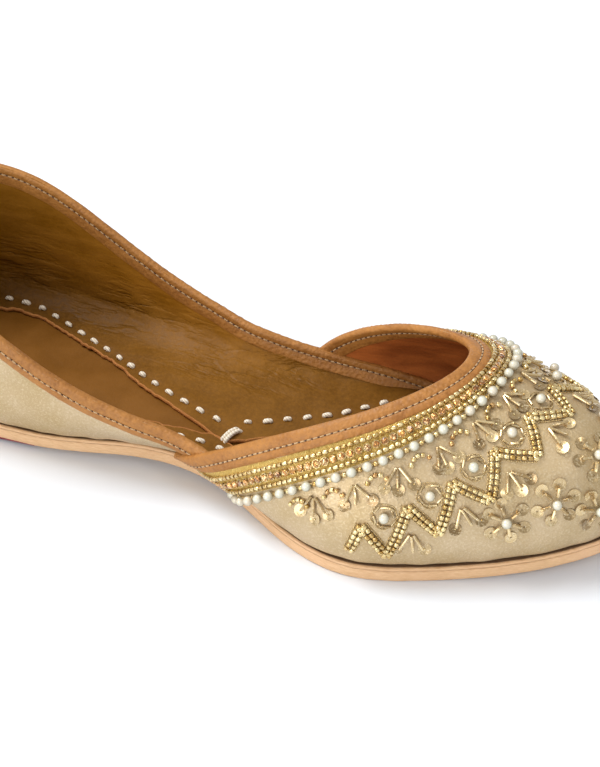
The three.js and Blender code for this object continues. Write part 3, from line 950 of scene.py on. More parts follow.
class MOJARI_OT_outsole(MojariPiece, bpy.types.Operator):
    """Leather outsole with a cut, lightly rounded edge in two layers"""

    bl_idname = "mojari.outsole"
    bl_label = "Outsole"

    # Height of the fine groove between the two layers, and its depth.
    LAYER = 3.75
    GROOVE = 0.3
    # The upper face lies this much below the rim, and is painted dark where the upper stands on it,
    # as shade in that crevice.
    FACE_DROP = 0.02
    FACE_PAINTED_SHADE = 0.85

    def make(self):
        top, layer, groove = SOLE_THICKNESS, self.LAYER, self.GROOVE
        face = top - self.FACE_DROP
        profile = [(1.3, 0.0), (0.35, 0.1), (0.05, 0.5), (0.0, 1.4), (0.0, 2.6),
                   (0.06, layer - 0.22), (groove, layer - 0.04), (groove, layer + 0.04),
                   (0.14, layer + 0.2), (0.12, top - 0.3), (0.25, top - 0.1), (0.6, top),
                   (1.1, face), (4.0, face)]
        angles = np.linspace(0, math.pi, 181)
        points, faces = solid_plate(profile, SOLE_HALF, sole_station, sole_underside, angles)
        above = points[:, 2] - sole_underside(points[:, 0])
        points[:, 2] += 0.05 * waves(points, 11, (9.0, 3.0)) * (above > 0.05)
        dark = 0.35 * np.exp(-((above - layer) / 0.12) ** 2)
        # Painted shade on the sole's upper face, under the foot of the upper.
        dark[np.abs(above - face) < self.FACE_DROP / 2] = self.FACE_PAINTED_SHADE
        add_piece("outsole_leather", points, faces, finishes()["sole"], "sole_leather", CUT_EDGE,
                  dark, ("outsole",))


class MOJARI_OT_heel_lift(MojariPiece, bpy.types.Operator):
    """Thin red rubber lift under the heel"""

    bl_idname = "mojari.heel_lift"
    bl_label = "Heel Lift"

    SKIVE_START = 40.0
    EDGE_INSET = 0.9
    FRONT_THICKNESS = 0.35
    COLUMNS = 13

    def make(self):
        angles = np.linspace(0.02, float(sole_angle(LIFT_LENGTH)), 70)
        lines = []
        for angle in angles:
            drawn_in = self.EDGE_INSET * math.sin(min(angle, math.pi / 2))
            across = np.linspace(-SOLE_HALF[MEDIAL](angle) + drawn_in,
                                 SOLE_HALF[LATERAL](angle) - drawn_in, self.COLUMNS)
            line = np.zeros((self.COLUMNS, 3))
            line[:, 0] = sole_station(angle)
            line[:, 1] = across
            lines.append(line)
        top = np.array(lines)
        top[..., 2] = sole_underside(top[..., 0]) - 0.02
        skived = smooth_step((top[..., 0] - self.SKIVE_START) / (LIFT_LENGTH - self.SKIVE_START))
        low = top * (1, 1, 0)
        low[..., 2] += (LIFT_THICKNESS - self.FRONT_THICKNESS) * skived
        add_piece("heel_lift_rubber", *shell(low, top), finishes()["lift"], "lift_rubber", CUT_EDGE,
                  None, ("heel_lift",))


class MOJARI_OT_insole(MojariPiece, bpy.types.Operator):
    """Smooth leather insole lying on the outsole"""

    bl_idname = "mojari.insole"
    bl_label = "Insole"

    INSET = 3.4
    THICKNESS = 2.2

    def make(self):
        inset, low, high = self.INSET, GAP, GAP + self.THICKNESS
        profile = [(inset, low), (inset - 0.1, low + 0.7), (inset, high - 0.5),
                   (inset + 0.5, high), (inset + 2.0, high)]
        half = {side: (lambda a, s=side: feather_half(s, a)) for side in (MEDIAL, LATERAL)}
        angles = np.linspace(0.0, math.pi, 161)
        points, faces = solid_plate(profile, half, upper_station, feather_height, angles,
                                    lambda grid: 0.14 * waves(grid, 23, (38.0, 21.0)) - 0.1)
        add_piece("insole_leather", points, faces, finishes()["insole"], "insole_leather", CUT_EDGE,
                  None, ("insole",))


# ------------------------------------------------------------------ the upper's leather
TOP_WALL = 1.2
SKIVE_FROM = 3.0
SKIVE_RUN = 3.5


def skive(distance):
    """The leathers are pared thin under the bindings: 0 at the topline, 1 at full thickness."""
    return smooth_step((distance - SKIVE_FROM) / SKIVE_RUN)


def wall_depth(distance):
    return TOP_WALL + (WALL - TOP_WALL) * skive(distance)


def skin_depth(distance):
    return SKIN * (0.6 + 0.4 * skive(distance))


class MOJARI_OT_skins(MojariPiece, bpy.types.Operator):
    """Gold outer leather of the quarter and of the vamp that laps over it"""

    bl_idname = "mojari.skins"
    bl_label = "Gold Skins"

    # The foot of the skins turns in towards the sole, and its last strip is painted dark, as shade
    # in the crevice above the sole.
    TUCK = 0.8
    TUCK_HEIGHT = 1.6
    PAINTED_SHADE_HEIGHT = 0.45
    PUFF = 0.09
    FULL_AT_FOOT = 9.0

    def make(self):
        for name, sheet, seed in (("quarter_skin", quarter_sheet(), 31),
                                  ("vamp_skin", vamp_sheet(), 37)):
            over_foot = sheet.distance.max(1)[:, None] - sheet.distance
            near_foot = 1 - smooth_step(over_foot / self.FULL_AT_FOOT)
            pull = waves(sheet.points * (1, 1, 0.4), seed, (14.0, 7.0))
            height = sheet.points[..., 2] - feather_height(sheet.points[..., 0])
            tucked = self.TUCK * np.clip(1 - height / self.TUCK_HEIGHT, 0, 1) ** 1.5
            puff = self.PUFF * pull * (0.4 + near_foot) - tucked
            outer = sheet.points + sheet.normals * puff[..., None]
            inner = sheet.points - sheet.normals * (skin_depth(sheet.distance) + tucked)[..., None]
            # Painted shade: the skin darkens over its lowest strip, in the crevice above the sole.
            dark = np.clip(1.0 - height / self.PAINTED_SHADE_HEIGHT, 0, 1).reshape(-1)
            add_piece(name, *shell(outer, inner), finishes()["gold_skin"], "gold_skin", SOFT_EDGE,
                      np.concatenate([dark, dark]), ("upper",))


FLANGE_COLUMNS = ("station", "medial", "lateral", "medial_seam", "lateral_seam")
# How far the lining's turned-in foot and its hand-stitched seam lie in from the feather line.
FLANGE = (
    (0, 9.0, 9.4, 4.6, 4.8), (38, 8.6, 9.4, 4.6, 4.7), (50, 8.4, 9.8, 4.4, 5.9),
    (58, 7.6, 11.4, 4.0, 8.5), (70, 6.2, 14.8, 3.4, 12.0), (85, 5.2, 18.2, 2.8, 16.0),
    (99, 4.8, 23.0, 2.4, 19.9), (112, 5.2, 26.2, 2.1, 22.9), (118, 6.6, 29.4, 3.0, 25.0),
    (121.8, 8.6, 32.6, 4.2, 26.0), (124, 8.6, 31.2, 4.6, 24.0), (129, 8.6, 28.4, 4.6, 21.7),
    (135, 8.8, 25.4, 4.6, 18.8), (141, 9.0, 23.0, 4.6, 16.7), (146, 9.0, 21.2, 4.6, 15.4),
    (152, 9.0, 18.5, 4.6, 12.5), (158, 9.0, 16.0, 4.6, 9.9), (175, 9.0, 11.0, 4.6, 6.0),
)
CORNER_STATION = 121.8
FLOOR_LIFT = 2.65
FILLET = 9.0
FILLET_HEIGHT = 7.5
FILLET_PULL = 2.2
WALL_STEPS, FILLET_STEPS, FOOT_STEPS = 34, 15, 25
BEND_AT_HEEL, BEND_RISE = 5.0, 0.13
WRINKLES_FROM, WRINKLES_TO = 12, 158
WRINKLES_GROW, WRINKLES_FADE = 18, 30
INNER_SIDE_SHARE = 0.5
WRINKLE_BAND, HIGH_BAND, HIGH_BAND_UP = 6.0, 7.0, 10


def foot_level(station):
    """Height of the face of the lining's foot, where it lies on the insole."""
    return feather_height(station) + FLOOR_LIFT + LINING


def flange(side, station, what=""):
    """Reach of the lining's foot, or of its seam, over the insole."""
    rows = np.array(FLANGE)
    name = ("medial" if side < 0 else "lateral") + what
    return np.interp(station, rows[:, 0], rows[:, FLANGE_COLUMNS.index(name)])


def feather_line(alongs, reach):
    """Feather line points and plan directions into the shoe, for places along the quarter."""
    angle = np.maximum(0.012, np.abs(alongs) * reach)
    side = np.where(alongs < 0, MEDIAL, LATERAL)

    def at(a):
        half = np.where(side < 0, feather_half(MEDIAL, a), feather_half(LATERAL, a))
        return np.stack([upper_station(a), side * half], -1)

    spot, ahead = at(angle), at(angle + 0.01) - at(angle - 0.01)
    inward = unit(np.stack([ahead[:, 1], -ahead[:, 0]], -1)) * side[:, None]
    return spot, inward, side


def wrinkled(points, above_seam, side):
    """How wrinkled the lining is: most where the wall bends into the foot, on the outer side."""
    bend = BEND_AT_HEEL + BEND_RISE * np.clip(points[..., 0] - 20, 0, 90)
    band = np.exp(-((above_seam - bend) / WRINKLE_BAND) ** 2)
    high = 0.5 * np.exp(-((above_seam - bend - HIGH_BAND_UP) / HIGH_BAND) ** 2)
    run = smooth_step((points[..., 0] - WRINKLES_FROM) / WRINKLES_GROW)
    run = run * smooth_step((WRINKLES_TO - points[..., 0]) / WRINKLES_FADE)
    uneven = 0.8 + 0.5 * waves(points, 19, (26.0, 12.0))
    share = np.where(side > 0, 1.0, INNER_SIDE_SHARE)
    return np.clip((band + high) * run * uneven * share, 0, 1)


def lining_path(sheet, alongs, reach):
    """Inner face of the quarter's lining: down the wall, round the fillet, over the insole."""
    spot, inward, side = feather_line(alongs, reach)
    wall = (sheet.points - sheet.normals * wall_depth(sheet.distance)[..., None])[:, ::-1]
    over = wall[..., 2] - feather_height(wall[..., 0])
    width, seam = (np.where(side < 0, flange(MEDIAL, spot[:, 0], what),
                            flange(LATERAL, spot[:, 0], what)) for what in ("", "_seam"))
    wavy = np.column_stack([spot, np.zeros(len(spot))])
    width = width + 0.35 * waves(wavy, 5, (6.0, 3.2), 4) + 0.5 * waves(wavy, 6, (17.0,), 4)
    shares = np.linspace(0, 1, WALL_STEPS)
    t = np.linspace(0, 1, FILLET_STEPS)[1:, None]
    lines = []
    for i in range(len(spot)):
        low = min(FILLET_HEIGHT, over[i, 0] * 0.45)
        heights = over[i, 0] + (low - over[i, 0]) * shares
        down = np.stack([np.interp(-heights, -over[i], wall[i, :, k]) for k in range(3)], -1)
        bend = min(FILLET, width[i] - 1.5)
        reaches = np.concatenate([[FILLET_PULL], np.linspace(bend, width[i], FOOT_STEPS)])
        floor_at = spot[i] + inward[i] * reaches[:, None]
        pull, landing, *flat = np.column_stack([floor_at, foot_level(floor_at[:, 0])])
        fillet = (1 - t) ** 2 * down[-1] + 2 * t * (1 - t) * pull + t ** 2 * landing
        lines.append(np.concatenate([down, fillet, flat]))
    face = np.array(lines)[:, ::-1]
    steps = np.linalg.norm(np.diff(face, axis=1), axis=-1)
    along = np.concatenate([np.zeros((len(face), 1)), np.cumsum(steps, 1)], 1)
    return face, along - (width - seam)[:, None]


@lru_cache(maxsize=None)
def lining_face():
    """The quarter lining's inner face from its raw edge up, and how far above the seam it is."""
    alongs = np.linspace(-1, 1, QUARTER_LINES + 1)
    return lining_path(quarter_sheet(), alongs, quarter_reach())


@lru_cache(maxsize=None)
def lining_tree():
    face, _ = lining_face()
    flat = [Vector(p) for p in face.reshape(-1, 3)]
    return BVHTree.FromPolygons(flat, quads(*face.shape[:2]).tolist())


def stitch_places(side, first, last):
    """Hand stitches in a row along the lining's foot, between two stations."""
    angles = np.linspace(float(upper_angle(first)), float(upper_angle(last)), 160)
    spot, inward, _ = feather_line(angles / quarter_reach() * side, quarter_reach())
    row = spot + inward * flange(side, spot[:, 0], "_seam")[:, None]
    line = np.column_stack([row, foot_level(row[:, 0])])
    line = np.array([lining_tree().find_nearest(Vector(p))[0] for p in line])
    at = even_steps(arc_lengths(line)[-1], size("hand_pitch"))
    return resample(line, at), unit(run_at(line, at, 0.5))


@lru_cache(maxsize=None)
def hand_seam():
    """Places and directions of every white stitch."""
    heel, toe = 4.0, 170.0
    rows = [stitch_places(*row) for row in (
        (LATERAL, heel, CORNER_STATION - 2.6), (LATERAL, CORNER_STATION + 3.7, toe),
        (MEDIAL, heel, CORNER_STATION - 1.5), (MEDIAL, CORNER_STATION + 4.0, toe))]
    return [np.concatenate(column) for column in zip(*rows)]


class MOJARI_OT_linings(MojariPiece, bpy.types.Operator):
    """Brown lining of the quarter with its turned-in foot, and red-brown lining of the vamp"""

    bl_idname = "mojari.linings"
    bl_label = "Linings"

    RIM_REACH = 0.42
    RIM_HALF = 0.64
    STITCH_DIMPLE = 0.42

    def make(self):
        self.quarter()
        self.vamp()

    def quarter(self):
        face, above_seam = lining_face()
        outs = grid_normals(face)
        alongs = np.linspace(-1, 1, QUARTER_LINES + 1)
        side = np.where(alongs < 0, MEDIAL, LATERAL)[:, None]
        wrinkles = wrinkled(face, above_seam, side)
        sink = 0.16 * wrinkles * waves(face * (0.35, 1, 1.4), 29, (5.0, 3.2), 7)
        places, _ = hand_seam()
        on_floor = face[..., 2] < foot_level(face[..., 0]) + 1.5
        for place in places:
            gap = ((face - place) ** 2).sum(-1)
            sink += self.STITCH_DIMPLE * np.exp(-gap / 1.9) * on_floor
        ripple = waves(face, 71, (11.0, 5.5)) * 0.1
        face = face + outs * (sink + ripple)[..., None]
        steps = np.linalg.norm(np.diff(face, axis=1), axis=-1)
        below_top = np.cumsum(steps[:, ::-1], 1)[:, ::-1]
        below_top = np.concatenate([below_top, np.zeros((len(face), 1))], 1)
        back = face + outs * (LINING * (0.5 + 0.5 * skive(below_top)))[..., None]
        # The wrinkles' tone gives the material its bumps and the painted shade in their folds.
        tone = np.concatenate([np.zeros(wrinkles.size), wrinkles.reshape(-1)])
        add_piece("quarter_lining", *shell(back, face), finishes()["quarter_lining"],
                  "lining_leather", SOFT_EDGE, tone)
        self.raw_edge(face[:, 0], back[:, 0])

    def raw_edge(self, top, under):
        """The lining's cut edge, a lighter rolled rim."""
        middle = (top + under) / 2
        across = unit(top - under)
        out = unit(np.cross(np.gradient(middle, axis=0), across))
        points, faces = tube(middle, out * self.RIM_REACH, across * self.RIM_HALF, 8)
        add_piece("lining_raw_edge", points, faces, finishes()["raw_edge"], "lining_leather",
                  CUT_EDGE, np.zeros(len(points)))

    def vamp(self):
        sheet = vamp_sheet()
        uneven = 0.12 * waves(sheet.points, 83, (16.0, 8.0))
        outer = sheet.points - sheet.normals * (skin_depth(sheet.distance) + 0.1)[..., None]
        deep = wall_depth(sheet.distance) + uneven * skive(sheet.distance)
        inner = sheet.points - sheet.normals * deep[..., None]
        points, faces = shell(outer, inner)
        add_piece("vamp_lining", points, faces, finishes()["vamp_lining"], "lining_leather",
                  SOFT_EDGE, np.full(len(points), 0.15))


# ------------------------------------------------------------------ bindings and their stitches
BINDING_EDGE = 0.55
STITCH_LINE = 3.4
INNER_STITCH_LINE = 2.5


def binding_section(width, inner_width):
    """Cross-section of a binding: distance below the topline, and height off the sheet's face.

    It goes up the outer leg, over the topline, down the inner leg and back between the two.
    """
    groove = 0.2
    leg = BINDING_EDGE
    deep = -TOP_WALL
    outer = [(width, 0.05), (width + 0.05, 0.3), (width - 0.35, leg),
             (STITCH_LINE + 0.9, leg + 0.1), (STITCH_LINE + 0.35, leg + 0.02),
             (STITCH_LINE, leg - groove), (STITCH_LINE - 0.35, leg + 0.02),
             (STITCH_LINE - 1.0, leg + 0.12), (1.5, leg + 0.08),
             (0.6, leg - 0.05), (0.15, 0.25), (-0.12, -0.2), (-0.15, -0.6)]
    crest = [(-0.12, deep + 0.2), (0.15, deep - 0.25)]
    inner = [(0.6, deep - leg + 0.05), (INNER_STITCH_LINE - 1.0, deep - leg - 0.1),
             (INNER_STITCH_LINE - 0.35, deep - leg - 0.02),
             (INNER_STITCH_LINE, deep - leg + groove),
             (INNER_STITCH_LINE + 0.35, deep - leg - 0.02),
             (INNER_STITCH_LINE + 1.0, deep - leg - 0.12),
             (inner_width - 0.4, deep - leg - 0.5), (inner_width + 0.05, deep - leg - 0.3),
             (inner_width, deep - 0.2)]
    under = [(1.2, deep + 0.05), (0.5, -0.6), (1.2, -0.05)]
    return outer + crest + inner + under


def bind(name, sheet, lines, width, inner_width, seed):
    """A folded strip over a sheet's topline."""
    rings = []
    for distance, lift in binding_section(width, inner_width):
        reach = np.minimum(distance, sheet.reach(lines) - 0.2)
        spots, _ = sheet.at(lines, np.where(distance > 0, reach, distance), lift)
        rings.append(spots)
    rings = np.array(rings).transpose(1, 0, 2)
    rings += 0.05 * waves(rings, seed, (9.0, 4.0))[..., None] * sheet.at(lines, 1.0)[1][:, None]
    add_piece(name, *loft(rings), finishes()["binding"], "binding_leather", SOFT_EDGE)


STITCH_SHARE = 0.72
STITCH_THICKNESS = 0.42
SEAM_MARGIN = 1.2
# Size of the dark marks painted as shade in the needle holes.
HOLE_LENGTH, HOLE_THICKNESS = 0.6, 0.4


def capsule(long, thickness, sides=8):
    """A stitch: a short bowed rod with rounded ends, its middle raised."""
    profile = ((-0.5, 1e-3), (-0.44, 0.7), (-0.3, 1.0), (0.0, 1.0), (0.3, 1.0), (0.44, 0.7),
               (0.5, 1e-3))
    rings = turned_rings(profile, sides)
    arch = 0.32 * thickness * (1 - (2 * rings[..., 0]) ** 2)
    rings = rings * (long, thickness / 2, thickness / 2)
    rings[..., 2] += arch
    return loft(rings)


def seam(name, sheet, lines, lift, inner):
    """Machine stitches along a binding, on its outer or its inner leg, with dark marks between them
    painted as the shade in the needle holes.
    """
    spots, outs = sheet.at(lines, INNER_STITCH_LINE if inner else STITCH_LINE, lift)
    face = -outs if inner else outs
    pitch = size("stitch_pitch")
    at = even_steps(arc_lengths(spots)[-1], pitch, SEAM_MARGIN)
    dice = np.random.default_rng(len(at))
    stitch = capsule(pitch * STITCH_SHARE, STITCH_THICKNESS)
    points, faces, _ = scatter(stitch, *seats(spots, face, at),
                               dice.uniform(0.9, 1.1, (len(at), 3)))
    add_piece(name + "_thread", points, faces, finishes()["machine_thread"], "cotton_thread",
              SOFT_EDGE)
    # Painted shade: short dark rods between the stitches stand for the shade in the needle holes.
    between = at[:-1] + pitch / 2
    points, faces, _ = scatter(capsule(HOLE_LENGTH, HOLE_THICKNESS), *seats(spots, face, between))
    add_piece(name + "_hole_shade", points, faces, finishes()["needle_hole_shade"], "binding_leather",
              SOFT_EDGE)


class MOJARI_OT_bindings(MojariPiece, bpy.types.Operator):
    """Tan bindings over both toplines, with their machine stitches"""

    bl_idname = "mojari.bindings"
    bl_label = "Bindings"

    def make(self):
        width = size("binding_width")
        quarter = np.linspace(0, QUARTER_LINES, 420)
        vamp = np.linspace(0, VAMP_LINES, 360)
        bind("quarter_binding", quarter_sheet(), quarter, width, width + 0.3, 91)
        bind("vamp_binding", vamp_sheet(), vamp, width, width, 97)
        for name, sheet, lines in (("quarter_seam", quarter_sheet(), quarter),
                                   ("vamp_seam", vamp_sheet(), vamp)):
            seam(name + "_outer", sheet, lines, BINDING_EDGE - 0.1, False)
            seam(name + "_inner", sheet, lines, -TOP_WALL - BINDING_EDGE + 0.1, True)


class MOJARI_OT_hand_stitches(MojariPiece, bpy.types.Operator):
    """White hand stitches that hold the lining's foot, and the tack at its corner"""

    bl_idname = "mojari.hand_stitches"
    bl_label = "Hand Stitches"

    # The tack's path by station and side, with heights over the lining's foot.
    TACK = ((126.4, -12.6, -1.0), (126.5, -11.9, 0.35), (126.9, -10.2, 0.65),
            (127.4, -8.4, 0.65), (128.2, -6.7, 0.35), (128.8, -6.0, -0.6))
    TACK_LEVEL_STATION = 127.0
    TACK_SHIFT = 0.55
    TACK_RADIUS = 0.62
    HAND_LENGTH, HAND_THICKNESS, HAND_SUNK = 2.7, 1.4, 0.15

    def make(self):
        places, runs = hand_seam()
        dice = np.random.default_rng(3)
        upright = np.tile((0, 0, 1.0), (len(runs), 1))
        turns = frames_from(runs + dice.normal(0, 0.12, runs.shape), upright)
        scales = dice.uniform((0.85, 0.85, 0.8), (1.2, 1.15, 1.1), (len(runs), 3))
        stitch = capsule(self.HAND_LENGTH, self.HAND_THICKNESS, 10)
        points, faces, _ = scatter(stitch, places - (0, 0, self.HAND_SUNK), turns, scales)
        add_piece("hand_stitches", points, faces, finishes()["hand_thread"], "cotton_thread",
                  SOFT_EDGE)
        self.tack()

    def tack(self):
        """Two strands of thick thread looped over the lining's corner."""
        level = float(foot_level(self.TACK_LEVEL_STATION))
        strands = []
        for shift in (-self.TACK_SHIFT, self.TACK_SHIFT):
            line = np.array(self.TACK) + (shift, shift * -0.4, level)
            smooth = resample(line, np.linspace(0, arc_lengths(line)[-1], 40))
            run = unit(np.gradient(smooth, axis=0))
            side = unit(np.cross(run, (0, 0, 1.0)))
            up = np.cross(side, run)
            strands.append(tube(smooth, side * self.TACK_RADIUS, up * self.TACK_RADIUS, 10))
        add_piece("corner_tack", *joined(strands), finishes()["hand_thread"], "cotton_thread",
                  SOFT_EDGE)


# ------------------------------------------------------------------ beadwork: laying it out
REFERENCE_ROW = 26.0
SPREAD_AT_RIDGE, SPREAD_AT_SIDES, SPREAD_TURN = 0.86, 1.08, 50


@lru_cache(maxsize=None)
def vamp_tree():
    points = vamp_sheet().points
    flat = [Vector(p) for p in points.reshape(-1, 3)]
    return BVHTree.FromPolygons(flat, quads(*points.shape[:2]).tolist())


def snap(points, lift=0.0):
    """Points moved on to the vamp's face and raised off it, with the face's normals."""
    spots, outs = [], []
    for point in np.asarray(points, float).reshape(-1, 3):
        spot, out, _, _ = vamp_tree().find_nearest(Vector(point))
        spots.append(spot)
        outs.append(out)
    spots, outs = np.array(spots), np.array(outs)
    return spots + outs * np.broadcast_to(lift, len(spots))[:, None], outs


def spread(lines):
    """The border is narrower over the ridge than at the sides."""
    turn = np.abs(np.interp(lines, np.arange(VAMP_LINES + 1), vamp_turns()))
    grown = smooth_step(turn / SPREAD_TURN)
    return SPREAD_AT_RIDGE + (SPREAD_AT_SIDES - SPREAD_AT_RIDGE) * grown


def vamp_row(distance):
    """A row round the vamp at a distance from its topline: line numbers and points."""
    lines = np.linspace(0, VAMP_LINES, 480)
    lines = lines[distance * spread(lines) < vamp_sheet().reach(lines) - 0.9]
    return lines, vamp_sheet().at(lines, distance * spread(lines))[0]


@lru_cache(maxsize=None)
def chart():
    """Distance along the reference row from the ridge, medial positive, for each line number."""
    lines, spots = vamp_row(REFERENCE_ROW)
    along = arc_lengths(spots)
    return lines, along - np.interp(VAMP_LINES / 2, lines, along)


def chart_point(along, distance):
    """A place on the vamp's face from its chart coordinates."""
    lines, reach = chart()
    line = np.interp(along, reach, lines)
    spot, out = vamp_sheet().at(line, distance * spread(line))
    return spot, out


def chart_frame(along, distance):
    """Place, direction round the shoe, and direction away from the topline."""
    spot, out = chart_point(along, distance)
    beyond, _ = chart_point(along, distance + 1.0)
    away = unit(beyond - spot - out * np.dot(beyond - spot, out))
    return spot, np.cross(away, out), away


def string_of(points, pitch, lift, margin):
    """Beads at a pitch along a line on the vamp: places, rotations."""
    at = even_steps(arc_lengths(points)[-1], pitch, margin)
    spots, outs = snap(resample(points, at), lift)
    run = np.gradient(spots, axis=0) if len(spots) > 1 else np.array([points[-1] - points[0]])
    return spots, frames_from(run, outs)


class Tray:
    """Collects the places, rotations, scales and tones of one kind of bead."""

    def __init__(self, seed):
        self.dice = np.random.default_rng(seed)
        self.places, self.turns, self.scales, self.tones = [], [], [], []

    def lay(self, places, turns, scale=(1, 1, 1), *, loose):
        """Adds beads, each tilted by chance by about the given angle in radians."""
        count = len(places)
        self.places.append(places)
        self.turns.append(self.tilted(turns, self.dice.normal(0, loose, (count, 3))))
        self.scales.append(np.array(scale) * self.dice.uniform(0.95, 1.05, (count, 1)))
        self.tones.append(self.dice.uniform(0.0, 1.0, count))

    @staticmethod
    def tilted(turns, tilt):
        """Rotations each turned a little about their own axes."""
        small = np.tile(np.eye(3), (len(tilt), 1, 1))
        a, b, c = tilt.T
        small[:, 0, 1], small[:, 1, 0] = -c, c
        small[:, 0, 2], small[:, 2, 0] = b, -b
        small[:, 1, 2], small[:, 2, 1] = -a, a
        first = unit(small[:, :, 0])
        third = unit(np.cross(first, small[:, :, 1]))
        return turns @ np.stack([first, np.cross(third, first), third], -1)

    def piece(self, name, template, finish, slot, sharp=BEAD_EDGE):
        laid = (np.concatenate(part) for part in (self.places, self.turns, self.scales, self.tones))
        points, faces, tone = scatter(template, *laid)
        add_piece(name, points, faces, finishes()[finish], slot, sharp, tone)


# ------------------------------------------------------------------ beadwork: single beads
def seed_bead(diameter):
    """Short rounded glass tube with its hole along X."""
    radius, half, hole = diameter / 2, diameter * 0.4, diameter * 0.17
    profile = [(hole, -half), (radius * 0.8, -half), (radius, -half * 0.5), (radius, half * 0.5),
               (radius * 0.8, half), (hole, half)]
    return lathe(profile, 9)


def bugle_bead(long, diameter):
    """Long straight glass tube with its hole along X."""
    radius, half, hole = diameter / 2, long / 2, diameter * 0.2
    profile = [(hole, -half), (radius * 0.85, -half), (radius, -half + 0.15),
               (radius, half - 0.15), (radius * 0.85, half), (hole, half)]
    return lathe(profile, 8)


def ball(diameter, sides=20, rows=12):
    angles = np.linspace(0.02, math.pi - 0.02, rows)
    return loft(turned_rings([(-math.cos(a), math.sin(a)) for a in angles], sides) * diameter / 2)


def sequin(diameter):
    """Cupped foil disc with a hole, lying flat with its hollow up."""
    radius, hole, thick = diameter / 2, 0.3, 0.09
    upper = [(hole, 0.0), (radius * 0.5, 0.02), (radius * 0.62, 0.07), (radius * 0.98, 0.18)]
    profile = [*upper, *[(r, z - thick) for r, z in upper[::-1]]]
    points, faces = lathe(profile, 18)
    return points[:, [1, 2, 0]], faces


def stone(diameter):
    """Round faceted stone: a table, crown facets, girdle and a flat back."""
    radius = diameter / 2
    sides = 8
    turns = np.arange(sides) * 2 * math.pi / sides
    half_turn = math.pi / sides
    levels = ((0.62, 0.0, 0.25), (1.0, half_turn, 0.3), (0.96, 0.0, 0.62), (0.55, half_turn, 1.0))
    rings = [[(k * radius * math.cos(t + shift), k * radius * math.sin(t + shift), z * radius)
              for t in turns] for k, shift, z in levels]
    return loft(np.array(rings))


def stone_cup(diameter):
    """Gilt bowl with four claws."""
    radius = diameter / 2
    profile = [(0.5 * radius, 0.0), (1.02 * radius, 0.1), (1.12 * radius, 0.5 * radius),
               (1.0 * radius, 0.5 * radius), (0.9 * radius, 0.16 * radius), (0.5 * radius, 0.1)]
    bowl, bowl_faces = lathe(profile, 12)
    parts = [(bowl[:, [1, 2, 0]], bowl_faces)]
    claw, claw_faces = ball(0.62 * radius, 6, 4)
    for k in range(4):
        turn = math.pi / 4 + k * math.pi / 2
        spot = np.array((math.cos(turn), math.sin(turn), 0.62)) * radius * 0.96
        parts.append((claw * (0.8, 0.8, 1.3) + spot, claw_faces))
    return joined(parts)


def wire_along(points, thickness, lift, sides, twist=0.0):
    """Thin wire lying on the vamp; a twist makes it two plies wound on each other."""
    spots, outs = snap(points, lift)
    run = unit(np.gradient(spots, axis=0))
    across = unit(np.cross(run, outs))
    radius = thickness / 2
    plies = []
    for phase in ((0.0, math.pi) if twist else (0.0,)):
        wind = (arc_lengths(spots) * twist + phase)[:, None]
        off = radius if twist else 0.0
        middle = spots + off * (across * np.cos(wind) + outs * np.sin(wind))
        plies.append(tube(middle, across * radius, outs * radius, sides))
    return joined(plies)


# ------------------------------------------------------------------ beadwork: the border
# Rows of the border, by distance from the topline before the border narrows over the ridge.
STRIP_FROM, STRIP_TO = 5.4, 12.6
FIRST_SEEDS, STONES, SECOND_SEEDS, PEARLS = 7.2, 9.4, 11.6, 14.0
ROW_MARGIN, STONE_MARGIN, PEARL_MARGIN = 0.8, 1.2, 2.2
STRIP_LIFT, STRIP_THICKNESS = 0.05, 0.35
# The pitch and shape of the seed beads in a row are shares of a bead, the cups' and stones'
# sizes are shares of their pitch.
ROW_PITCH, ROW_SHAPE = 1.24, (1.2, 0.92, 0.92)
CUP_SHARE, STONE_SHARE = 0.88, 0.86


def ribbon(low, high, lift, thick):
    """A thin band over the vamp between two distances from the topline."""
    grids = []
    lines = np.linspace(0, VAMP_LINES, 420)
    lines = lines[low * spread(lines) < vamp_sheet().reach(lines) - 1.2]
    for share in np.linspace(0, 1, 9):
        away = (low + (high - low) * share) * spread(lines)
        away = np.minimum(away, vamp_sheet().reach(lines) - 0.3)
        arch = lift + thick * (1 - abs(2 * share - 1) ** 4)
        grids.append(vamp_sheet().at(lines, away, arch)[0])
    outer = np.array(grids).transpose(1, 0, 2)[:, ::-1]
    inner = outer - grid_normals(outer) * 0.3
    return shell(outer, inner)


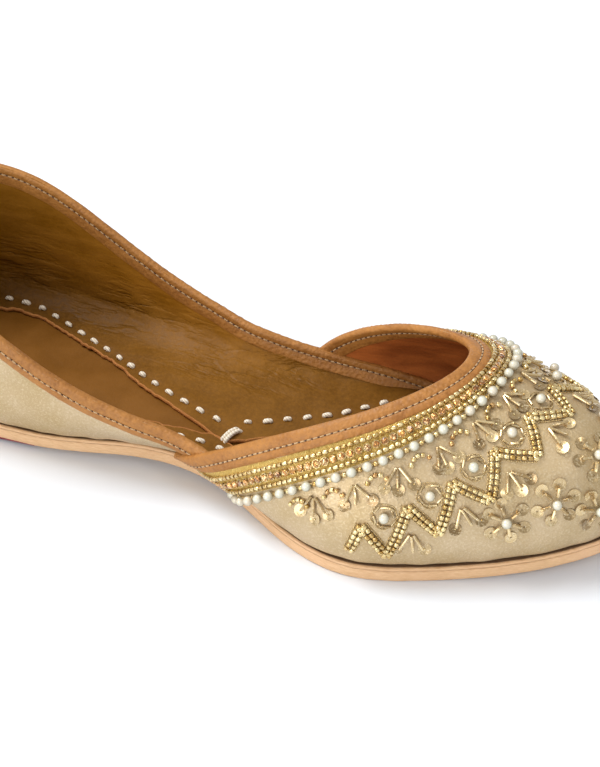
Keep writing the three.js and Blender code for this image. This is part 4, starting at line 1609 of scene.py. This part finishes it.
class MOJARI_OT_border(MojariPiece, bpy.types.Operator):
    """Beaded border along the vamp's binding: gilt strip, seed rows, set stones and pearls"""

    bl_idname = "mojari.border"
    bl_label = "Beaded Border"

    def make(self):
        strip = ribbon(STRIP_FROM, STRIP_TO, STRIP_LIFT, STRIP_THICKNESS)
        add_piece("border_strip", *strip, finishes()["strip"], "gold_wire", SOFT_EDGE)
        self.seeds()
        self.stones()
        self.pearls()

    def seeds(self):
        tray = Tray(41)
        seed = size("seed_size")
        for distance in (FIRST_SEEDS, SECOND_SEEDS):
            _, spots = vamp_row(distance)
            row = string_of(spots, seed * ROW_PITCH, seed * 0.5 + 0.15, ROW_MARGIN)
            tray.lay(*row, ROW_SHAPE, loose=0.11)
        tray.piece("border_seed_beads", seed_bead(seed), "gold_bead", "gold_bead")

    def stones(self):
        _, spots = vamp_row(STONES)
        pitch = size("stone_pitch")
        places, turns = string_of(spots, pitch, 0.3, STONE_MARGIN)
        cups, stones = Tray(43), Tray(44)
        cups.lay(places, turns, loose=0.05)
        stones.lay(places + turns[:, :, 2] * 0.2, turns, loose=0.16)
        cups.piece("stone_cups", stone_cup(pitch * CUP_SHARE), "gold_bead", "gold_bead")
        stones.piece("set_stones", stone(pitch * STONE_SHARE), "stone", "amber_stone", FACET_EDGE)

    def pearls(self):
        _, spots = vamp_row(PEARLS)
        pitch, across = size("pearl_pitch"), size("pearl_size")
        tray = Tray(47)
        tray.lay(*string_of(spots, pitch, across * 0.5 + 0.1, PEARL_MARGIN), loose=0.3)
        tray.piece("border_pearls", ball(across), "pearl", "pearl", ROUND_EDGE)
        at = even_steps(arc_lengths(spots)[-1], pitch, PEARL_MARGIN)
        between = at[:-1] + np.diff(at) / 2
        gaps, outs = snap(resample(spots, between), 0.6)
        small = Tray(48)
        small.lay(gaps, frames_from(run_at(spots, between, 0.3), outs), loose=0.1)
        small.piece("pearl_spacers", seed_bead(size("seed_size")), "gold_bead", "gold_bead")
        _, under = vamp_row(PEARLS - 0.2)
        fine = resample(under, np.arange(0.5, arc_lengths(under)[-1] - 0.5, 0.3))
        add_piece("pearl_wire", *wire_along(fine, 0.55, 0.45, 6, 2.4), finishes()["wire"],
                  "gold_wire", SOFT_EDGE)


# ------------------------------------------------------------------ beadwork: the field
ZIGZAG_PITCH = 13.2
ZIGZAG_INNER, ZIGZAG_OUTER = 27.4, 37.2
ZIGZAG_PHASE = 6.0
ZIGZAG_ENDS = -62.5, 62.5
RING_FLOWER_ROW = 27.2
OUTER_SPRAY_ROW = 34.0
SPRAY_PITCH = 13.9
SPRAY_ROW = 16.6
SPRAY_PHASE = 3.4
OUTER_SPRAYS_END = 50
SPRAY_START, SPRAY_FAN = 0.6, 0.6
ARC_PITCH, ARC_BEND = 1.3, 0.24
COPPER_SHARE = 0.25
RING_RADIUS = 2.7
WIRE_LOOPS = ((3.25, 6), (3.55, 5))
PETALS = 6
PETAL_BUGLE, PETAL_SEQUIN = 3.1, 5.3
BUGLE_THICKNESS = 0.85
SHORT_BUGLE = (2.4, 0.95)


def zigzag_corners():
    """Chart corners of the zigzag, inner and outer in turn, from one side to the other."""
    low, high = ZIGZAG_ENDS
    first = math.floor((low - ZIGZAG_PHASE) / ZIGZAG_PITCH)
    last = math.ceil((high - ZIGZAG_PHASE) / ZIGZAG_PITCH)
    corners = []
    for k in range(first, last + 1):
        inner = ZIGZAG_PHASE + k * ZIGZAG_PITCH
        corners.append((inner, ZIGZAG_INNER))
        corners.append((inner + ZIGZAG_PITCH / 2, ZIGZAG_OUTER))
    kept = [c for c in corners if low < c[0] < high]
    tail = 0.5 * (ZIGZAG_INNER + ZIGZAG_OUTER)
    return [(low, tail), *kept, (high, tail)]


def chart_line(first, second):
    """Points on the vamp along a straight run between two chart places."""
    first, second = np.array(first), np.array(second)
    return np.array([chart_point(*(first + (second - first) * share))[0]
                     for share in np.linspace(0, 1, 24)])


class Fans:
    """Bugles, sequins and small beads gathered from every spray and flower."""

    def __init__(self):
        self.bugles, self.sequins, self.short_bugles = Tray(51), Tray(52), Tray(53)
        self.seeds, self.coppers, self.pearls = Tray(54), Tray(55), Tray(56)
        self.wires = []

    def put(self, tray, motif, far, bearing, heading, lift, **how):
        """Lays one bead at a distance and bearing from a motif's middle, headed its own way."""
        spot, across, away = motif
        place, out = snap(spot + across * far * math.sin(bearing) + away * far * math.cos(bearing),
                          lift)
        run = away * math.cos(heading) + across * math.sin(heading)
        tray.lay(place, frames_from(run[None], out), **how)


FANS = Fans()


def spray(motif, dice):
    """Three long bugles fanned from one point, most of them ending in a sequin."""
    long = size("bugle_length")
    turn = dice.normal(0, 0.12)
    for k, angle in enumerate((-SPRAY_FAN, 0.0, SPRAY_FAN)):
        heading = angle + turn + dice.normal(0, 0.1)
        FANS.put(FANS.bugles, motif, SPRAY_START + long / 2, heading, heading, 0.8, loose=0.06)
        tip = SPRAY_START + long + dice.uniform(0.4, 1.0)
        if k != 1 or dice.random() < 0.75:
            FANS.put(FANS.sequins, motif, tip, heading, heading, 0.22 + 0.08 * k, loose=0.1)
            FANS.put(FANS.seeds, motif, tip, heading, heading + 1.2, 0.4,
                     scale=(0.36, 0.36, 0.36), loose=0.3)


def seed_arc(motif, dice):
    """A short curved run of five small beads."""
    for k in range(5):
        right = (k - 2) * ARC_PITCH
        down = ARC_BEND * right * right
        tray = FANS.coppers if dice.random() < COPPER_SHARE else FANS.seeds
        FANS.put(tray, motif, math.hypot(right, down), math.atan2(right, down),
                 math.pi / 2 - 0.44 * right, 0.7, loose=0.15)


def ring_flower(motif):
    """A pearl ringed by short bugles and two loops of wire."""
    FANS.put(FANS.pearls, motif, 0, 0, 0, size("pearl_size") * 0.5 + 0.1, loose=0.3)
    for k in range(8):
        turn = (k + 0.3 * math.sin(5 * k)) * math.pi / 4
        FANS.put(FANS.short_bugles, motif, RING_RADIUS + 0.25 * math.sin(3 * k), turn,
                 turn + math.pi / 2 + 0.25 * math.cos(7 * k), 0.5, scale=(0.9, 0.62, 0.62),
                 loose=0.14)
    spot, across, away = motif
    loops = np.linspace(0, 2 * math.pi, 61)[:, None]
    for radius, lumps in WIRE_LOOPS:
        wobble = radius + 0.16 * np.sin(loops * lumps)
        ring = spot + across * (wobble * np.sin(loops)) + away * (wobble * np.cos(loops))
        FANS.wires.append(wire_along(ring, 0.24, 0.22, 5))


def sequin_flower(motif, dice):
    """A pearl with six petals, each a short bugle and a sequin."""
    FANS.put(FANS.pearls, motif, 0, 0, 0, size("pearl_size") * 0.5 + 0.35, loose=0.3)
    start = dice.uniform(0, 1.0)
    for k in range(PETALS):
        turn = start + k * 2 * math.pi / PETALS + dice.normal(0, 0.07)
        far = PETAL_SEQUIN + dice.normal(0, 0.15)
        FANS.put(FANS.sequins, motif, far, turn, turn, 0.25, loose=0.12)
        FANS.put(FANS.short_bugles, motif, PETAL_BUGLE, turn, turn, 0.85, scale=(1.15, 1, 1),
                 loose=0.08)


class MOJARI_OT_zigzag(MojariPiece, bpy.types.Operator):
    """Double row of gilt seed beads running in a zigzag round the vamp"""

    bl_idname = "mojari.zigzag"
    bl_label = "Zigzag"

    # Beads and wires lie to either side of the zigzag's middle, by these shares of a bead.
    BEAD_ROWS, WIRE_ROWS = (-0.52, 0.52), (-1.15, 1.15)
    BEAD_PITCH, BEAD_SHAPE = 1.08, (1.1, 0.95, 0.95)
    END_MARGIN = 0.35
    WIRE_THICKNESS, WIRE_LIFT, WIRE_TWIST = 0.22, 0.16, 3.0

    def make(self):
        seed = size("seed_size")
        corners = zigzag_corners()
        tray, wires = Tray(61), []
        for first, second in zip(corners[:-1], corners[1:]):
            line = chart_line(first, second)
            run = unit(line[-1] - line[0])
            _, outs = snap(line)
            side = unit(np.cross(run, outs))
            for shift in self.BEAD_ROWS:
                offset = line + side * seed * shift
                row = string_of(offset, seed * self.BEAD_PITCH, seed * 0.5, self.END_MARGIN)
                tray.lay(*row, self.BEAD_SHAPE, loose=0.16)
            for shift in self.WIRE_ROWS:
                at = np.linspace(0, arc_lengths(line)[-1], 36)
                offset = resample(line + side * seed * shift, at)
                wires.append(wire_along(offset, self.WIRE_THICKNESS, self.WIRE_LIFT, 5,
                                        self.WIRE_TWIST))
        tray.piece("zigzag_seed_beads", seed_bead(seed), "gold_bead", "gold_bead")
        add_piece("zigzag_wire", *joined(wires), finishes()["wire"], "gold_wire", SOFT_EDGE)


class MOJARI_OT_field(MojariPiece, bpy.types.Operator):
    """Sprays, pearl flowers and sequin flowers over the vamp"""

    bl_idname = "mojari.field"
    bl_label = "Sprays and Flowers"

    # Sequin flowers on the toe, as chart places.
    TOE_FLOWERS = ((24.1, 44.4), (14.9, 50.0), (4.8, 50.7), (-5.6, 50.2), (-15.4, 49.6),
                   (-24.5, 44.6), (8.7, 60.5), (-0.4, 62.5), (-9.4, 60.0))

    def make(self):
        dice = np.random.default_rng(7)
        self.inner_sprays(dice)
        for along, distance in zigzag_corners()[1:-1]:
            if distance == ZIGZAG_OUTER:
                ring_flower(chart_frame(along, RING_FLOWER_ROW))
            elif abs(along) < OUTER_SPRAYS_END:
                spray(chart_frame(along, OUTER_SPRAY_ROW), dice)
        for place in self.TOE_FLOWERS:
            sequin_flower(chart_frame(*place), dice)
        self.pieces()

    def inner_sprays(self, dice):
        _, reach = chart()
        first = math.ceil((reach[0] - SPRAY_PHASE) / SPRAY_PITCH)
        last = math.floor((reach[-1] - SPRAY_PHASE) / SPRAY_PITCH)
        for k in range(first, last + 1):
            along = SPRAY_PHASE + k * SPRAY_PITCH
            spray(chart_frame(along, SPRAY_ROW), dice)
            seed_arc(chart_frame(along + SPRAY_PITCH / 2, SPRAY_ROW), dice)

    def pieces(self):
        seed = size("seed_size")
        long_bugle = bugle_bead(size("bugle_length"), BUGLE_THICKNESS)
        FANS.bugles.piece("spray_bugles", long_bugle, "bugle", "gold_bead")
        FANS.short_bugles.piece("flower_bugles", bugle_bead(*SHORT_BUGLE), "bugle", "gold_bead")
        FANS.sequins.piece("sequins", sequin(size("sequin_size")), "sequin", "sequin", CUT_EDGE)
        FANS.seeds.piece("field_seed_beads", seed_bead(seed), "gold_bead", "gold_bead")
        FANS.coppers.piece("copper_seed_beads", seed_bead(seed), "copper_bead", "gold_bead")
        FANS.pearls.piece("flower_pearls", ball(size("pearl_size")), "pearl", "pearl", ROUND_EDGE)
        add_piece("flower_wire", *joined(FANS.wires), finishes()["wire"], "gold_wire", SOFT_EDGE)


# ------------------------------------------------------------------ stage
CAMERA_AZIMUTH = 23.8
CAMERA_ELEVATION = 40.0
CAMERA_DISTANCE = 610.3
CAMERA_TARGET = (18.4, 9.19, 20.0)
CAMERA_ROLL = -1.2
CAMERA_SENSOR = 36.0
CAMERA_LENS = 100.56
FLOOR_REACH = 4.0
LAMP_COLUMNS = ("name", "kind", "strength", "size", "x", "y", "z")
# A sun's strength is its light on a square metre and its size an angle in degrees; a softbox's
# strength is in watts and its size in metres.
LAMPS = (
    ("key_light", "SUN", 2.5, 30.0, -0.50, 0.02, 0.86),
    ("fill_light", "SUN", 2.0, 50.0, -0.28, -0.92, 0.22),
    ("glint_left", "AREA", 0.55, 0.11, -0.45, 0.25, 0.70),
    ("glint_right", "AREA", 0.55, 0.11, 0.50, -0.30, 0.65),
)
SKY_STRENGTH = 0.6


class MOJARI_OT_stage(bpy.types.Operator):
    """Pale floor, soft studio lamps and the camera"""

    bl_idname = "mojari.stage"
    bl_label = "Stage"
    bl_options = {"REGISTER", "UNDO"}

    def execute(self, context):
        self.camera()
        self.floor()
        self.lamps()
        context.scene.view_settings.view_transform = "Standard"
        return {"FINISHED"}

    def camera(self):
        turn, rise = math.radians(CAMERA_AZIMUTH), math.radians(CAMERA_ELEVATION)
        roll = math.radians(CAMERA_ROLL)
        right = np.array((math.cos(turn), math.sin(turn), 0.0))
        level = np.array((-math.sin(turn), math.cos(turn), 0.0))
        ahead = math.cos(rise) * level - math.sin(rise) * np.array((0, 0, 1.0))
        up = math.sin(rise) * level + math.cos(rise) * np.array((0, 0, 1.0))
        tilted_right = math.cos(roll) * right + math.sin(roll) * up
        tilted_up = -math.sin(roll) * right + math.cos(roll) * up
        data = bpy.data.cameras.new("camera")
        data.sensor_fit = "VERTICAL"
        data.sensor_height = CAMERA_SENSOR
        data.lens = CAMERA_LENS
        data.clip_start, data.clip_end = 0.02, 20.0
        camera = bpy.data.objects.new("camera", data)
        place = (np.array(CAMERA_TARGET) - ahead * CAMERA_DISTANCE) * MM
        stand = np.eye(4)
        stand[:3] = np.column_stack([tilted_right, tilted_up, -ahead, place])
        camera.matrix_world = Matrix(stand.tolist())
        bpy.context.scene.collection.objects.link(camera)
        bpy.context.scene.camera = camera

    def floor(self):
        mesh = bpy.data.meshes.new("floor")
        corners = np.array([(-1, -1, 0), (1, -1, 0), (1, 1, 0), (-1, 1, 0)]) * FLOOR_REACH
        mesh.from_pydata(corners, [], [(0, 1, 2, 3)])
        mesh.materials.append(finishes()["floor"])
        floor = bpy.data.objects.new("floor", mesh)
        bpy.context.scene.collection.objects.link(floor)

    def lamps(self):
        for row in LAMPS:
            lamp_values = dict(zip(LAMP_COLUMNS, row))
            data = bpy.data.lights.new(lamp_values["name"], lamp_values["kind"])
            data.energy = lamp_values["strength"]
            if lamp_values["kind"] == "SUN":
                data.angle = math.radians(lamp_values["size"])
            else:
                data.size = lamp_values["size"]
            lamp = bpy.data.objects.new(lamp_values["name"], data)
            lamp.location = lamp_values["x"], lamp_values["y"], lamp_values["z"]
            lamp.rotation_mode = "QUATERNION"
            lamp.rotation_quaternion = (-lamp.location).to_track_quat("-Z", "Y")
            bpy.context.scene.collection.objects.link(lamp)
        world = bpy.data.worlds.new("studio")
        world.use_nodes = True
        sky = world.node_tree.nodes["Background"]
        sky.inputs["Color"].default_value = (1.0, 1.0, 1.0, 1.0)
        sky.inputs["Strength"].default_value = SKY_STRENGTH
        bpy.context.scene.world = world


# ------------------------------------------------------------------ panel and registration
OPERATORS = (MOJARI_OT_stage, MOJARI_OT_outsole, MOJARI_OT_heel_lift, MOJARI_OT_insole,
             MOJARI_OT_skins, MOJARI_OT_linings, MOJARI_OT_bindings, MOJARI_OT_hand_stitches,
             MOJARI_OT_border, MOJARI_OT_zigzag, MOJARI_OT_field)


class MOJARI_PT_panel(bpy.types.Panel):
    """Shows the mojari's settings and the steps that build it"""

    bl_label = "Mojari"
    bl_idname = "MOJARI_PT_panel"
    bl_space_type = "VIEW_3D"
    bl_region_type = "UI"
    bl_category = "Mojari"

    def draw(self, context):
        for owner in (context.scene.mojari_sizes, context.scene.mojari_colours):
            box = self.layout.box()
            for name in owner.__annotations__:
                box.prop(owner, name)
        for operator in OPERATORS:
            self.layout.operator(operator.bl_idname)


CLASSES = (MojariSizes, MojariColours, *OPERATORS, MOJARI_PT_panel)


def register():
    for cls in CLASSES:
        bpy.utils.register_class(cls)
    bpy.types.Scene.mojari_sizes = bpy.props.PointerProperty(type=MojariSizes)
    bpy.types.Scene.mojari_colours = bpy.props.PointerProperty(type=MojariColours)


def unregister():
    del bpy.types.Scene.mojari_colours
    del bpy.types.Scene.mojari_sizes
    for cls in reversed(CLASSES):
        bpy.utils.unregister_class(cls)


def main():
    register()
    for operator in OPERATORS:
        group, step = operator.bl_idname.split(".")
        getattr(getattr(bpy.ops, group), step)()


if __name__ == "__main__":
    main()
